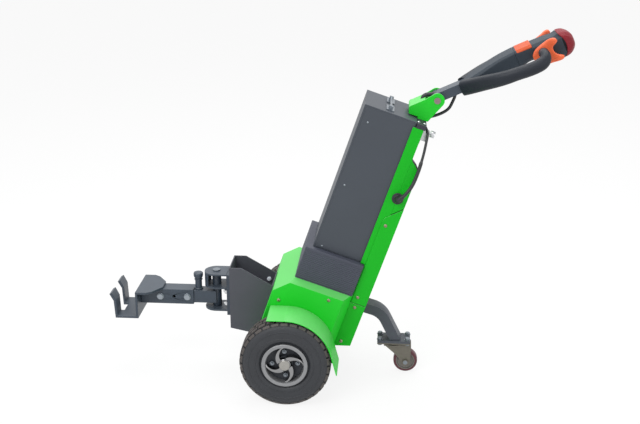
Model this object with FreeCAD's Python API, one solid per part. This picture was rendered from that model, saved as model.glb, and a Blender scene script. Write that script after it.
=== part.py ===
import FreeCAD, Part
import math
import os

# Walk-behind tow tractor.  Millimetres, +X from the tow hook towards the tiller, +Z up.
# It is drawn about the drive axle, which stands at x = 0, and moved at the end so that the
# origin is the middle of the whole machine's box on the floor.

V = FreeCAD.Vector
O = V(0, 0, 0)
Y = V(0, 1, 0)
Z = V(0, 0, 1)

# ---------------------------------------------------------------- driving dimensions
SHEET = 2.5                 # folded cover sheet
PLATE = 5.0                 # welded bracket plate
LEAN = 19.0                 # column leans this many degrees back from upright
RUN_FIT = 0.05              # radial gap of a pin or shaft that turns in its bore
SIDE_GAP = 0.5              # gap beside a turning bush
TRAVEL_GAP = 6.0            # gap kept by pieces that swing past each other

# drive wheels
TYRE_R = 135.0
TYRE_HALF_W = 45.0
TREAD_HALF_W = 30.0
BEAD_R = 58.0
TRACK_HALF = 221.0          # wheel's middle plane from the machine's middle
RIM_LIP_R = 67.8
RIM_WALL = 4.0
RIM_DISC_Y = 18.0           # back disc of the rim, out from the wheel's middle plane
RIM_DISC_T = 5.0
SPOKES = 4
SPOKE_Y = 28.0
SPOKE_T = 11.0
SPOKE_START = 59.0          # degrees round from +X towards +Z where the first spoke leaves the hub
SPOKE_SWEEP = -55.0         # degrees a spoke turns on its way out to the lip
SPOKE_HALF_IN = 10.0
SPOKE_HALF_OUT = 4.2
HUB_R = 22.0
CAP_R = 16.5
CAP_Y = 47.0
NUT_PITCH_R = 38.0
NUT_R = 7.0

# transaxle
AXLE_TUBE_R = 28.0
AXLE_TUBE_END = TRACK_HALF - 53.0
GEAR_CASE_R = 62.0
GEAR_CASE_HALF_W = 34.0
GEAR_CASE_NECK = 62.0
SHAFT_R = 14.0
SHAFT_INNER_END = 72.0
MOTOR_R = 46.0
MOTOR_TOP = 296.0

# lower body cover, in the leaning frame: v runs back, u runs up the column
BODY_HALF_W = 150.0
BODY_FRONT = -148.0
BODY_SLOPE_FOOT = 292.0
BODY_SLOPE_BACK = -99.0
BODY_TOP = 342.0
BODY_SIDE_TOP = 333.0
BODY_SHELF = 30.0           # width of the sloped shelf along each side
BODY_BEVEL_START = 60.0
BODY_BACK = 84.0
BODY_BOTTOM_Z = 128.0
FRAME_HALF_W = 122.0
FRAME_BACK = 64.0
FRAME_DECK = 300.0

# fenders
FENDER_CLEAR = 3.0
FENDER_REACH = 39.0         # fender's outer edge beyond the wheel's middle plane
FENDER_OUT = TRACK_HALF + FENDER_REACH
FENDER_FRONT_X = -52.0
FENDER_TAIL_Z = 105.0
FENDER_TAIL_DEG = 15.0
FENDER_WEB_R = 100.0

# column and its covers
COLUMN_HALF_W = 103.0
COLUMN_FRONT = 79.5
COLUMN_BACK = 103.0
COLUMN_WALL = 3.0
COLUMN_TOP = 889.0
FLANGE_FRONT = 71.0
CAP_T = 14.0
CAP_LAP = 4.0               # cap beyond the column's back
CAP_TOP = COLUMN_TOP + CAP_T
COVER_BACK = 133.0
COVER_FRONT = 86.5          # front edge of the lower cover's sides
COVER_SEAM_LOW = 318.0
GLAND_R = 17.0
GLAND_H = 8.0
GLAND_U = 674.0
GLAND_V = 104.0
GLAND_MARGIN = 8.0          # from the gland down to the seam's high end
SEAM_CLIMB = 46.0           # the upper seam climbs this much from front to back
COVER_SEAM_BACK = GLAND_U - GLAND_R - GLAND_MARGIN
COVER_SEAM_FRONT = COVER_SEAM_BACK - SEAM_CLIMB
COVER_SLANT_LOW = GLAND_U + 26.0      # slanted top of the upper cover, at its back
COVER_SLANT_HIGH = GLAND_U + 56.0     # and at the column
EAR_TOP = GLAND_U + 124.0             # the cover's side behind the cable rises to here
EAR_LIP = 10.0
EAR_EDGE = ((0.0, 0.0), (16.0, 12.0), (25.0, 23.0), (29.0, 45.0), (30.0, 61.0))  # back, down
EAR_FOLD = 1.8
SEAM = 1.5

# battery tray and box
HANDLE_FOOT = (-16.0, 8.0, 18.0, 76.0)      # v from and to, y from and to
HANDLE_KNUCKLE = (-10.0, 2.0, 52.0, 66.0)
HANDLE_BAIL_R = 3.5
TRAY_HALF_W = 118.0
TRAY_BACK = 83.0
TRAY_TOP = 446.0
BOX_HALF_W = 96.0
BOX_FRONT = -78.5
BOX_BACK = 78.5
BOX_TOP = COLUMN_TOP + 15.0
PACK_GAP = 5.0
PACK_TOP = 700.0

# tiller bracket and pivot
PIVOT_V = COLUMN_BACK + 12.2
PIVOT_RISE = 67.0
PIVOT_U = CAP_TOP + PIVOT_RISE
BRACKET_NOSE = 46.0
BRACKET_NOSE_DROP = 45.0    # nose of the bracket below the pivot
LUG_OUT = 41.0
LUG_T = 6.0
LUG_R = 21.0
PIN_R = 9.5

# tiller: s runs out along it, t stands square on top of it
TILLER_RISE = 24.5
ARM_HALF_W = 25.0
ARM_LOW = -10.0
ARM_HIGH = 17.0
ARM_WALL = 3.0
ARM_BOSS_R = 17.0
NECK_START = 77.0
ARM_INSERT = 40.0
HEAD_START = 250.0
HEAD_END = 380.0
NOSE_END = 415.0
# sections along the tiller: s, half width, low, high and corner
NECK_SECTIONS = ((NECK_START, 34.0, -15.5, ARM_HIGH, 5.0), (140.0, 43.0, -19.0, 29.0, 8.0),
                 (205.0, 41.0, -18.0, 40.0, 9.0), (HEAD_START, 39.0, -7.0, 43.5, 9.0))
HEAD_SECTIONS = (NECK_SECTIONS[-1], (272.0, 39.5, 2.0, 42.6, 9.5), (292.0, 40.5, 2.0, 42.1, 10.0),
                 (320.0, 42.0, -27.0, 42.5, 10.5), (HEAD_END, 45.0, -29.0, 44.5, 12.0))
NOSE_SECTIONS = (HEAD_SECTIONS[-1], (NOSE_END - 21.0, 43.0, -26.0, 41.0, 13.0),
                 (NOSE_END - 7.0, 34.0, -17.0, 30.0, 12.0), (NOSE_END, 20.0, -6.0, 18.0, 8.0))
TOP_PAD_HALF_W = 41.0
TOP_PAD_LOW = 36.5
TOP_PAD_HIGH = 46.0
TOP_PAD_CORNER = 8.0
TOP_PAD_L = 47.0
GRIP_HALF_W = 17.0
GRIP_HALF_H = 18.5
GRIP_ROOT_H = 3.5           # the loop's root by the neck is this much taller each way
GRIP_Y = 118.0
STUB_R = 14.5
STUB_S = 322.0
STUB_T = 14.0
STUB_HALF_L = 98.0
GRIP_ROUTE = ((92.0, 26.0, 1.0), (125.0, 57.0, 2.0), (160.0, 88.0, 2.4), (195.0, 110.0, 1.5),
              (230.0, GRIP_Y, 0.0), (270.0, GRIP_Y, -3.0), (290.0, GRIP_Y - 0.5, -3.0),
              (305.0, GRIP_Y - 2.0, -1.5), (316.0, GRIP_Y - 6.0, 1.5),
              (321.0, GRIP_Y - 12.5, 7.0), (STUB_S, STUB_HALF_L, STUB_T))
BUTTERFLY_IN = 48.0
BUTTERFLY_OUT = 64.0
BUTTERFLY_R = 30.0
BUTTERFLY_DROP = 5.0        # the wing's round back sits this far below its axle
HORN_IN = 58.0              # the wing's two horns flare outwards
HORN_OUT = 80.0
HORN_LOW = ((4.0, -35.0), (38.0, -34.5), (47.5, -29.0), (46.0, -23.0), (29.0, -13.0),
            (12.0, -18.0))  # s and t from the axle
HORN_HIGH = ((1.0, 25.0), (35.0, 26.0), (43.5, 21.0), (43.5, 16.0), (35.0, 11.0), (27.0, 2.0),
             (14.0, 14.0))

# coupling bin, clevis and kingpin
BIN_FRONT = -190.0
BIN_HALF_W = 55.0
BIN_WALL = 4.0
BIN_TOP = 352.0
BIN_RIM_END = -152.0        # level rim runs back to here and then slopes down to the body
BIN_BACK_Z = 298.0
BIN_LOW_FRONT = 152.0
BIN_LOW_BACK = 136.0
KINGPIN_X = -238.0
KINGPIN_R = 8.0
CLEVIS_R = 37.0
CLEVIS_BACK_T = 12.0
CLEVIS_TOP = 322.0
CLEVIS_MID = 279.0
CLEVIS_LOW = 206.0
BUSH_R = 14.0

# drawbar and hook
BAR_Z = 239.0
BAR_OUTER = 48.0
BAR_WALL = 4.0
BAR_FRONT = -475.0
BAR_OUTER_END = -309.0
BAR_INNER_FRONT = -436.0
BOLT_X = (-414.0, -329.0)
BOLT_R = 6.0
BOLT_HEAD_R = 11.0
CROSS_HOLE_X = -371.0
CROSS_HOLE_R = 5.0
PLUNGER_X = -296.0
PLUNGER_R = 12.5
PLUNGER_CAP_R = 15.0
PLUNGER_TOP = 315.0
HOOK_T = 7.0
HOOK_HALF_W = 74.0
HOOK_GAP_HALF = 27.0
HOOK_FLOOR = 183.0
HOOK_FRONT = -547.0
HOOK_NOTCH = -530.0
HOOK_BEND_Z = 240.0
HOOK_TIP_X = -562.0
HOOK_TIP_Z = 262.0
LEAF_END = -405.0

# caster
CASTER_X = 354.8
CASTER_R = 37.5
CASTER_TREAD_HALF_W = 13.0
CASTER_HUB_HALF_W = 17.0
CASTER_TREAD_T = 8.0
STEM_X = 317.0
STEM_R = 6.0
FORK_T = 3.0
CASTER_BOLT_R = 6.0
CROWN_TOP = 94.5
PLATE_LOW = 100.5
PLATE_HALF_L = 51.0
PLATE_HALF_W = 31.0
ARM_TUBE_W = 50.0
ARM_TUBE_H = 31.0
ARM_ROOT_U = 281.0
ARM_KNEE_X = 277.0
ARM_KNEE_Z = 204.0

# cables
CABLE_R = 4.5
CABLE_BEND = ((0.0, 13.0, 0.0), (5.0, 20.0, 11.0), (14.0, 21.0, 27.0), (24.0, 16.0, 56.0),
              (26.0, 8.0, 100.0))     # back, out and up from the gland's mouth
TILLER_CABLE_BEND = ((17.5, 2.0), (47.5, 12.0), (70.0, 26.5), (79.5, 47.5), (86.0, 64.0))
TILLER_CABLE_S = 57.0
CABLE_TOP_V = (127.5, 122.0, 118.0)
CABLE_TOP_Y = (109.0, 97.0, 84.0, 78.0)


# ---------------------------------------------------------------- shape helpers
def box(x0, x1, y0, y1, z0, z1):
    return Part.makeBox(x1 - x0, y1 - y0, z1 - z0, V(x0, y0, z0))


def rod(radius, start, end):
    along = end - start
    return Part.makeCylinder(radius, along.Length, start, along)


def face(points):
    return Part.Face(Part.makePolygon(points + [points[0]]))


def plate_y(points, y0, y1):
    """Plate whose outline is drawn in x and z and which is thick along y."""
    return face([V(x, y0, z) for x, z in points]).extrude(V(0, y1 - y0, 0))


def plate_z(points, z0, z1):
    """Plate whose outline is drawn in x and y and which is thick along z."""
    return face([V(x, y, z0) for x, y in points]).extrude(V(0, 0, z1 - z0))


def turned_y(profile, x, z):
    """Ring about a line along y through x, z; the profile is a list of (y, radius)."""
    flat = face([V(x, y, z + radius) for y, radius in profile])
    return flat.revolve(V(x, 0, z), Y, 360)


def turned_z(profile, x, y):
    flat = face([V(x + radius, y, z) for radius, z in profile])
    return flat.revolve(V(x, y, 0), Z, 360)


def mirrored(shape):
    return shape.mirror(O, Y)


def both_sides(shape):
    return Part.makeCompound([shape, mirrored(shape)])


def fused(*shapes):
    whole = shapes[0].fuse(list(shapes[1:]))
    return whole.removeSplitter()


def lean(shape):
    """Turns a shape drawn in the leaning frame (v, y, u) back with the column."""
    turned = shape.copy()
    turned.rotate(O, Y, LEAN)
    return turned


def leaned_point(v, y, u):
    a = math.radians(LEAN)
    return V(u * math.sin(a) + v * math.cos(a), y, u * math.cos(a) - v * math.sin(a))


def tilt(shape):
    """Puts a shape drawn along the tiller (s, y, t) on its pivot at its resting angle."""
    turned = shape.copy()
    turned.rotate(O, Y, -TILLER_RISE)
    turned.translate(leaned_point(PIVOT_V, 0, PIVOT_U))
    return turned


def tilted_point(s, y, t):
    a = math.radians(TILLER_RISE)
    pivot = leaned_point(PIVOT_V, 0, PIVOT_U)
    return pivot + V(s * math.cos(a) - t * math.sin(a), y, s * math.sin(a) + t * math.cos(a))


def eight_sided(place, half_w, low, high, corner):
    """Section of a moulded body: a box in y and t at s = place, its corners cut off."""
    points = [(-half_w, low + corner), (-half_w, high - corner), (-half_w + corner, high),
              (half_w - corner, high), (half_w, high - corner), (half_w, low + corner),
              (half_w - corner, low), (-half_w + corner, low)]
    corners = [V(place, y, t) for y, t in points]
    return Part.makePolygon(corners + [corners[0]])


def loft(sections):
    return Part.makeLoft(sections, True, True)


def rounded_route(points):
    """Straight runs joined by tangent arcs, each as large as its two runs allow."""
    edges = []
    radii = []
    last = points[0]
    for before, corner, after in zip(points[:-2], points[1:-1], points[2:]):
        one = corner - before
        two = after - corner
        turn = one.getAngle(two)
        reach = 0.45 * min(one.Length, two.Length)
        radii.append(reach / math.tan(turn / 2))
        enter = corner - one.normalize() * reach
        leave = corner + two.normalize() * reach
        middle = (enter + leave) * 0.5
        inward = middle - corner
        depth = inward.Length
        bulge = math.hypot(radii[-1], reach) - radii[-1]
        top = corner + inward * (bulge / depth)
        edges.append(Part.LineSegment(last, enter).toShape())
        edges.append(Part.Arc(enter, top, leave).toShape())
        last = leave
    edges.append(Part.LineSegment(last, points[-1]).toShape())
    return Part.Wire(edges), radii


def cable(points, radius):
    """Round tube along a route, with its radii and volume printed."""
    path, radii = rounded_route(points)
    start = points[0]
    ring = Part.Wire(Part.makeCircle(radius, start, points[1] - start))
    tube = path.makePipeShell([ring], True, False)
    expected = math.pi * radius ** 2 * path.Length
    print("cable length %.1f, radii %s, volume over section times length %.4f"
          % (path.Length, [round(r) for r in radii], tube.Volume / expected))
    return tube


# ---------------------------------------------------------------- drive wheels
def tyre():
    half = [(TYRE_HALF_W - 14, BEAD_R), (TYRE_HALF_W - 9.5, BEAD_R + 2),
            (TYRE_HALF_W - 9.5, RIM_LIP_R + 1), (TYRE_HALF_W - 3, RIM_LIP_R + 8),
            (TYRE_HALF_W, 96), (TYRE_HALF_W - 0.8, 108), (TYRE_HALF_W - 4, 121),
            (TYRE_HALF_W - 9, 130), (TREAD_HALF_W, TYRE_R)]
    outline = half + [(-y, radius) for y, radius in reversed(half)]
    return turned_y(outline, 0, TYRE_R)


def swirl_spoke(start_deg):
    """One curved spoke: its middle line turns as it runs out from the hub to the lip."""
    inner = HUB_R - 3
    outer = BEAD_R - 1
    left = []
    right = []
    steps = 6
    for i in range(steps + 1):
        share = i / steps
        radius = inner + (outer - inner) * share
        middle = math.radians(start_deg + SPOKE_SWEEP * share)
        half = (SPOKE_HALF_IN + (SPOKE_HALF_OUT - SPOKE_HALF_IN) * share) / radius
        left.append((radius * math.cos(middle - half), radius * math.sin(middle - half)))
        right.append((radius * math.cos(middle + half), radius * math.sin(middle + half)))
    return plate_y(left + right[::-1], SPOKE_Y, SPOKE_Y + SPOKE_T)


def rim():
    lip_y = TYRE_HALF_W - 0.5
    bore = BEAD_R - RIM_WALL
    ring = turned_y([(-lip_y + 8, BEAD_R), (lip_y - 8, BEAD_R), (lip_y - 8, RIM_LIP_R),
                     (lip_y - 1, RIM_LIP_R), (lip_y, RIM_LIP_R - 1.5), (lip_y, bore + 3),
                     (lip_y - 3, bore), (-lip_y + 3, bore), (-lip_y, bore + 3),
                     (-lip_y, RIM_LIP_R - 1.5), (-lip_y + 8, RIM_LIP_R - 1.5)], 0, 0)
    disc = rod(bore + 1, V(0, RIM_DISC_Y, 0), V(0, RIM_DISC_Y + RIM_DISC_T, 0))
    boss = turned_y([(RIM_DISC_Y, 0), (RIM_DISC_Y, HUB_R), (SPOKE_Y + SPOKE_T, HUB_R),
                     (SPOKE_Y + SPOKE_T + 2, CAP_R), (CAP_Y, CAP_R - 1.5), (CAP_Y, 0)], 0, 0)
    nuts = [rod(NUT_R, V(NUT_PITCH_R * math.cos(a), RIM_DISC_Y + RIM_DISC_T,
                         NUT_PITCH_R * math.sin(a)),
                V(NUT_PITCH_R * math.cos(a), RIM_DISC_Y + RIM_DISC_T + 7,
                  NUT_PITCH_R * math.sin(a)))
            for a in [math.radians(90 * i) for i in range(4)]]
    spokes = [swirl_spoke(SPOKE_START + 360 / SPOKES * i) for i in range(SPOKES)]
    whole = fused(ring, disc, boss, *nuts, *spokes)
    whole.translate(V(0, 0, TYRE_R))
    return whole


def half_shaft():
    """Hub and the half shaft that runs in the axle tube, out along +y from the middle."""
    seat = TRACK_HALF + RIM_DISC_Y
    profile = [(SHAFT_INNER_END, 0), (SHAFT_INNER_END, SHAFT_R),
               (AXLE_TUBE_END + TRAVEL_GAP, SHAFT_R), (AXLE_TUBE_END + TRAVEL_GAP, 24),
               (seat - 12, 24), (seat - 12, NUT_PITCH_R + 9), (seat, NUT_PITCH_R + 9), (seat, 0)]
    return turned_y(profile, 0, TYRE_R)


def placed_wheel(shape):
    out = shape.copy()
    out.translate(V(0, TRACK_HALF, 0))
    return out


# ---------------------------------------------------------------- transaxle and frame
def axle_housing():
    half = [(GEAR_CASE_HALF_W, GEAR_CASE_R), (GEAR_CASE_HALF_W + 14, GEAR_CASE_R - 14),
            (GEAR_CASE_NECK, AXLE_TUBE_R + 4), (GEAR_CASE_NECK + 8, AXLE_TUBE_R + 4),
            (GEAR_CASE_NECK + 8, AXLE_TUBE_R), (AXLE_TUBE_END, AXLE_TUBE_R),
            (AXLE_TUBE_END, SHAFT_R + RUN_FIT), (SHAFT_INNER_END - 2, SHAFT_R + RUN_FIT),
            (SHAFT_INNER_END - 2, 0)]
    outline = half + [(-y, radius) for y, radius in reversed(half)]
    return turned_y(outline, 0, TYRE_R)


def axle_in_leaning_frame():
    a = math.radians(LEAN)
    return -TYRE_R * math.sin(a), TYRE_R * math.cos(a)


def drive_motor():
    v, u = axle_in_leaning_frame()
    body = turned_z([(0, u + GEAR_CASE_R + 2), (MOTOR_R, u + GEAR_CASE_R + 2),
                     (MOTOR_R, MOTOR_TOP - 8), (MOTOR_R - 8, MOTOR_TOP), (0, MOTOR_TOP)], v, 0)
    collar = rod(MOTOR_R - 12, V(v, 0, u + 30), V(v, 0, u + GEAR_CASE_R + 2))
    return fused(lean(body), lean(collar)).cut(axle_housing())


def main_frame():
    v, u = axle_in_leaning_frame()
    outline = [(BODY_FRONT + SHEET, 205), (BODY_FRONT + SHEET, 285),
               (BODY_SLOPE_BACK, FRAME_DECK), (FRAME_BACK, FRAME_DECK), (FRAME_BACK, 150),
               (v + 42, u - 8), (v + 30, u - 34), (v - 30, u - 34), (v - 46, u)]
    side = plate_y(outline, FRAME_HALF_W - PLATE, FRAME_HALF_W)
    deck = box(BODY_SLOPE_BACK, FRAME_BACK, -FRAME_HALF_W, FRAME_HALF_W, FRAME_DECK,
               FRAME_DECK + PLATE)
    tongue = COLUMN_HALF_W - 5
    bridge = box(FRAME_BACK, BODY_BACK, -tongue, tongue, FRAME_DECK, FRAME_DECK + PLATE)
    heel = box(BODY_BACK - PLATE, BODY_BACK, -tongue, tongue, 150, FRAME_DECK)
    front = box(BODY_FRONT + SHEET, BODY_FRONT + SHEET + PLATE,
                -FRAME_HALF_W, FRAME_HALF_W, 205, 285)
    riser = box(-60, 60, -TRAY_HALF_W + 20, TRAY_HALF_W - 20, FRAME_DECK + PLATE,
                BODY_TOP - SHEET)
    riser = riser.cut(box(-54, 54, -TRAY_HALF_W, TRAY_HALF_W, FRAME_DECK, BODY_TOP))
    whole = fused(side, mirrored(side), deck, bridge, heel, front, riser)
    return lean(whole).cut(rod(AXLE_TUBE_R, V(0, -200, TYRE_R), V(0, 200, TYRE_R)))


# ---------------------------------------------------------------- body cover and fenders
def body_block(inset):
    """The lower body as one solid, every wall moved in by inset, run on below the floor line."""
    side = BODY_HALF_W - inset
    back = BODY_BACK + (40 if inset else 0)
    neck = COLUMN_HALF_W + SHEET - inset
    plan = [(BODY_FRONT + inset, -side), (BODY_BEVEL_START, -side), (BODY_BACK, -neck),
            (back, -neck), (back, neck), (BODY_BACK, neck), (BODY_BEVEL_START, side),
            (BODY_FRONT + inset, side)]
    if not inset:
        plan = plan[:3] + plan[5:]
    block = plate_z(plan, -20, BODY_TOP - inset)
    slope = math.atan2(BODY_TOP - BODY_SLOPE_FOOT, BODY_SLOPE_BACK - BODY_FRONT)
    drop = inset / math.cos(slope)
    rise = math.tan(slope)
    far = 200.0
    slope_cut = plate_y([(BODY_FRONT - far, BODY_SLOPE_FOOT - far * rise - drop),
                         (BODY_FRONT + far, BODY_SLOPE_FOOT + far * rise - drop),
                         (BODY_FRONT - far, BODY_SLOPE_FOOT + far * rise)], -far, far)
    shelf = (BODY_TOP - BODY_SIDE_TOP) / BODY_SHELF
    shelf_cut = face([V(-far, BODY_HALF_W - BODY_SHELF, BODY_TOP - inset),
                      V(-far, BODY_HALF_W + far, BODY_TOP - inset - shelf * (far + BODY_SHELF)),
                      V(-far, BODY_HALF_W + far, BODY_TOP + far),
                      V(-far, BODY_HALF_W - BODY_SHELF, BODY_TOP + far)]).extrude(V(2 * far, 0, 0))
    return block.cut([slope_cut, shelf_cut, mirrored(shelf_cut)])


def axle_slot(y0, y1):
    wide = AXLE_TUBE_R + 5
    slot = box(-wide, wide, y0, y1, 0, TYRE_R)
    return slot.fuse(rod(wide, V(0, y0, TYRE_R), V(0, y1, TYRE_R)))


def body_cover():
    shell = lean(body_block(0).cut(body_block(SHEET)))
    shell = shell.cut(box(-400, 400, -200, 200, -100, BODY_BOTTOM_Z))
    return shell.cut(axle_slot(-200, 200))


def fender_arc(radius, start_deg, end_deg):
    def at(deg):
        a = math.radians(deg)
        return V(radius * math.cos(a), BODY_HALF_W, TYRE_R + radius * math.sin(a))
    return Part.Arc(at(start_deg), at((start_deg + end_deg) / 2), at(end_deg)).toShape(), at


def fender_line(radius):
    """Level lead-in, arc over the tyre, straight tail down its tangent; left to right."""
    arc, at = fender_arc(radius, 90, FENDER_TAIL_DEG)
    top = at(90)
    low = at(FENDER_TAIL_DEG)
    a = math.radians(FENDER_TAIL_DEG)
    run = (low.z - FENDER_TAIL_Z) / math.cos(a)
    lead = V(FENDER_FRONT_X, BODY_HALF_W, top.z)
    tail = low + V(math.sin(a), 0, -math.cos(a)) * run
    return lead, top, low, tail, arc


def fender():
    inner = TYRE_R + FENDER_CLEAR
    lead_i, top_i, low_i, tail_i, arc_i = fender_line(inner)
    lead_o, top_o, low_o, tail_o, arc_o = fender_line(inner + SHEET)
    seg = lambda p, q: Part.LineSegment(p, q).toShape()
    loop = Part.Wire([seg(lead_i, top_i), arc_i, seg(low_i, tail_i), seg(tail_i, tail_o),
                      seg(tail_o, low_o), arc_o, seg(top_o, lead_o), seg(lead_o, lead_i)])
    strip = Part.Face(loop).extrude(V(0, FENDER_OUT - BODY_HALF_W, 0))
    arc_w, at_w = fender_arc(FENDER_WEB_R, 90, 0)
    toe = V(tail_i.x - 3, BODY_HALF_W, FENDER_TAIL_Z - 14)
    heel = V(toe.x - 22, BODY_HALF_W, toe.z)
    corner = V(FENDER_FRONT_X, BODY_HALF_W, TYRE_R + FENDER_WEB_R)
    web_loop = Part.Wire([seg(lead_i, top_i), arc_i, seg(low_i, tail_i), seg(tail_i, toe),
                          seg(toe, heel), seg(heel, at_w(0)), arc_w,
                          seg(at_w(90), corner), seg(corner, lead_i)])
    web = Part.Face(web_loop).extrude(V(0, SHEET, 0))
    return fused(strip, web)


# ---------------------------------------------------------------- column and covers
def column():
    hollow = COLUMN_HALF_W - COLUMN_WALL
    front_low = BODY_BACK
    foot = leaned_point(COLUMN_BACK, 0, 0)
    outer = box(COLUMN_FRONT, COLUMN_BACK, -COLUMN_HALF_W, COLUMN_HALF_W, TRAY_TOP + 1,
                COLUMN_TOP)
    low = box(front_low, COLUMN_BACK, -COLUMN_HALF_W, COLUMN_HALF_W, 120, TRAY_TOP + 1)
    room = box(COLUMN_FRONT + COLUMN_WALL, COLUMN_BACK - COLUMN_WALL, -hollow, hollow,
               TRAY_TOP + 1, COLUMN_TOP - COLUMN_WALL)
    low_room = box(front_low + COLUMN_WALL, COLUMN_BACK - COLUMN_WALL, -hollow, hollow, 100,
                   TRAY_TOP + 1)
    flange = box(FLANGE_FRONT, COLUMN_FRONT, hollow, COLUMN_HALF_W, TRAY_TOP + 1, COLUMN_TOP)
    whole = fused(outer.cut(room), low.cut(low_room), flange, mirrored(flange))
    whole = whole.cut(box(front_low + COLUMN_WALL, COLUMN_BACK - COLUMN_WALL, -hollow, hollow,
                          TRAY_TOP - 20, TRAY_TOP + 20))
    return lean(whole).cut(box(-400, 400, -200, 200, foot.z - 200, BODY_BOTTOM_Z))


def seam_height(v):
    """Height of the slanted seam between the upper and the lower cover."""
    climb = (COVER_SEAM_BACK - COVER_SEAM_FRONT) / (COVER_BACK - COVER_FRONT)
    return COVER_SEAM_FRONT + (v - COVER_FRONT) * climb


def cover_shell(outline):
    """U-shaped cover that wraps the column's sides and closes the space behind it."""
    half = COLUMN_HALF_W + SHEET
    room = box(0, COVER_BACK - SHEET, -COLUMN_HALF_W, COLUMN_HALF_W, 0, COLUMN_TOP)
    return lean(plate_y(outline, -half, half).cut(room))


def upper_rear_cover():
    """Shell behind the column, flush with its sides; the side by the cable ends in an ear."""
    half = COLUMN_HALF_W
    inside = half - SHEET
    back = COVER_BACK - SHEET
    low_front = seam_height(COLUMN_BACK) + SEAM
    low_back = seam_height(COVER_BACK) + SEAM
    skin = plate_y([(COLUMN_BACK, low_front), (COVER_BACK, low_back),
                    (COVER_BACK, COVER_SLANT_LOW), (COLUMN_BACK, COVER_SLANT_HIGH)], -half, half)
    under = low_front - SEAM_CLIMB
    room = plate_y([(COLUMN_BACK - 1, under), (back, under),
                    (back, COVER_SLANT_LOW - SHEET), (COLUMN_BACK - 1, COVER_SLANT_HIGH - SHEET)],
                   -inside, inside)
    edge = [(COLUMN_BACK + v, EAR_TOP - u) for v, u in EAR_EDGE] + [(COVER_BACK, COVER_SLANT_LOW)]
    ear = plate_y(edge + [(COLUMN_BACK, COVER_SLANT_LOW)], -half, -inside)
    turn_in = [(v - EAR_FOLD, u - EAR_FOLD) for v, u in edge[1:-2]]
    lip = plate_y(edge[1:] + [(back, COVER_SLANT_LOW), (back, edge[-2][1])] + turn_in[::-1],
                  -half, -half + EAR_LIP)
    return lean(fused(skin.cut(room), ear, lip))


def lower_rear_cover():
    low = COVER_SEAM_LOW + SEAM
    return cover_shell([(COVER_FRONT, low), (COVER_BACK, low), (COVER_BACK, COVER_SEAM_BACK),
                        (COVER_FRONT + 5, seam_height(COVER_FRONT + 5)),
                        (COVER_FRONT, COVER_SEAM_FRONT - 5)])


def foot_cover():
    shell = cover_shell([(BODY_BACK, 100), (COVER_BACK, 100), (COVER_BACK, COVER_SEAM_LOW),
                         (BODY_BACK, COVER_SEAM_LOW)])
    return shell.cut(box(-400, 400, -200, 200, -100, BODY_BOTTOM_Z))


def column_cap():
    half = COLUMN_HALF_W + 1
    return lean(box(FLANGE_FRONT + 8.5, COLUMN_BACK + CAP_LAP, -half, half, COLUMN_TOP, CAP_TOP))


def strap_bracket():
    base = box(COLUMN_BACK, COLUMN_BACK + 4, -74, -46, COLUMN_TOP - 47, COLUMN_TOP - 3)
    arm = box(COLUMN_BACK + 4, COLUMN_BACK + 22, -70, -50, COLUMN_TOP - 37, COLUMN_TOP - 5)
    return lean(fused(base, arm))


def strap_knob():
    start = COLUMN_BACK + 22
    height = COLUMN_TOP - 12
    neck = rod(5, V(start, -60, height), V(start + 4, -60, height))
    head = rod(10, V(start + 4, -60, height), V(start + 16, -60, height))
    return lean(fused(neck, head))


# ---------------------------------------------------------------- battery tray and box
def battery_tray():
    skin = box(BODY_SLOPE_BACK, TRAY_BACK, -TRAY_HALF_W, TRAY_HALF_W, BODY_TOP, TRAY_TOP)
    room = box(BODY_SLOPE_BACK + 3, TRAY_BACK - 3, -TRAY_HALF_W + 3, TRAY_HALF_W - 3,
               BODY_TOP - 1, TRAY_TOP - 3)
    return lean(skin.cut(room))


def battery_box():
    low = TRAY_TOP
    skin = box(BOX_FRONT, BOX_BACK, -BOX_HALF_W, BOX_HALF_W, low, BOX_TOP)
    room = box(BOX_FRONT + SHEET, BOX_BACK - SHEET, -BOX_HALF_W + SHEET, BOX_HALF_W - SHEET,
               low - 1, BOX_TOP - SHEET)
    return lean(skin.cut(room))


def battery_pack():
    gap = SHEET + PACK_GAP
    return lean(box(BOX_FRONT + gap, BOX_BACK - gap, -BOX_HALF_W + gap, BOX_HALF_W - gap,
                    TRAY_TOP, PACK_TOP))


def lift_handle():
    """Folding handle on the box: two feet, a knuckle on each and the bail lying between."""
    foot = box(*HANDLE_FOOT, BOX_TOP, BOX_TOP + 3)
    knuckle = box(*HANDLE_KNUCKLE, BOX_TOP + 3, BOX_TOP + 13)
    middle = (HANDLE_KNUCKLE[0] + HANDLE_KNUCKLE[1]) / 2
    reach = HANDLE_KNUCKLE[2]
    bail = rod(HANDLE_BAIL_R, V(middle, -reach, BOX_TOP + 8), V(middle, reach, BOX_TOP + 8))
    return lean(fused(foot, knuckle, mirrored(foot), mirrored(knuckle), bail))


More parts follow.
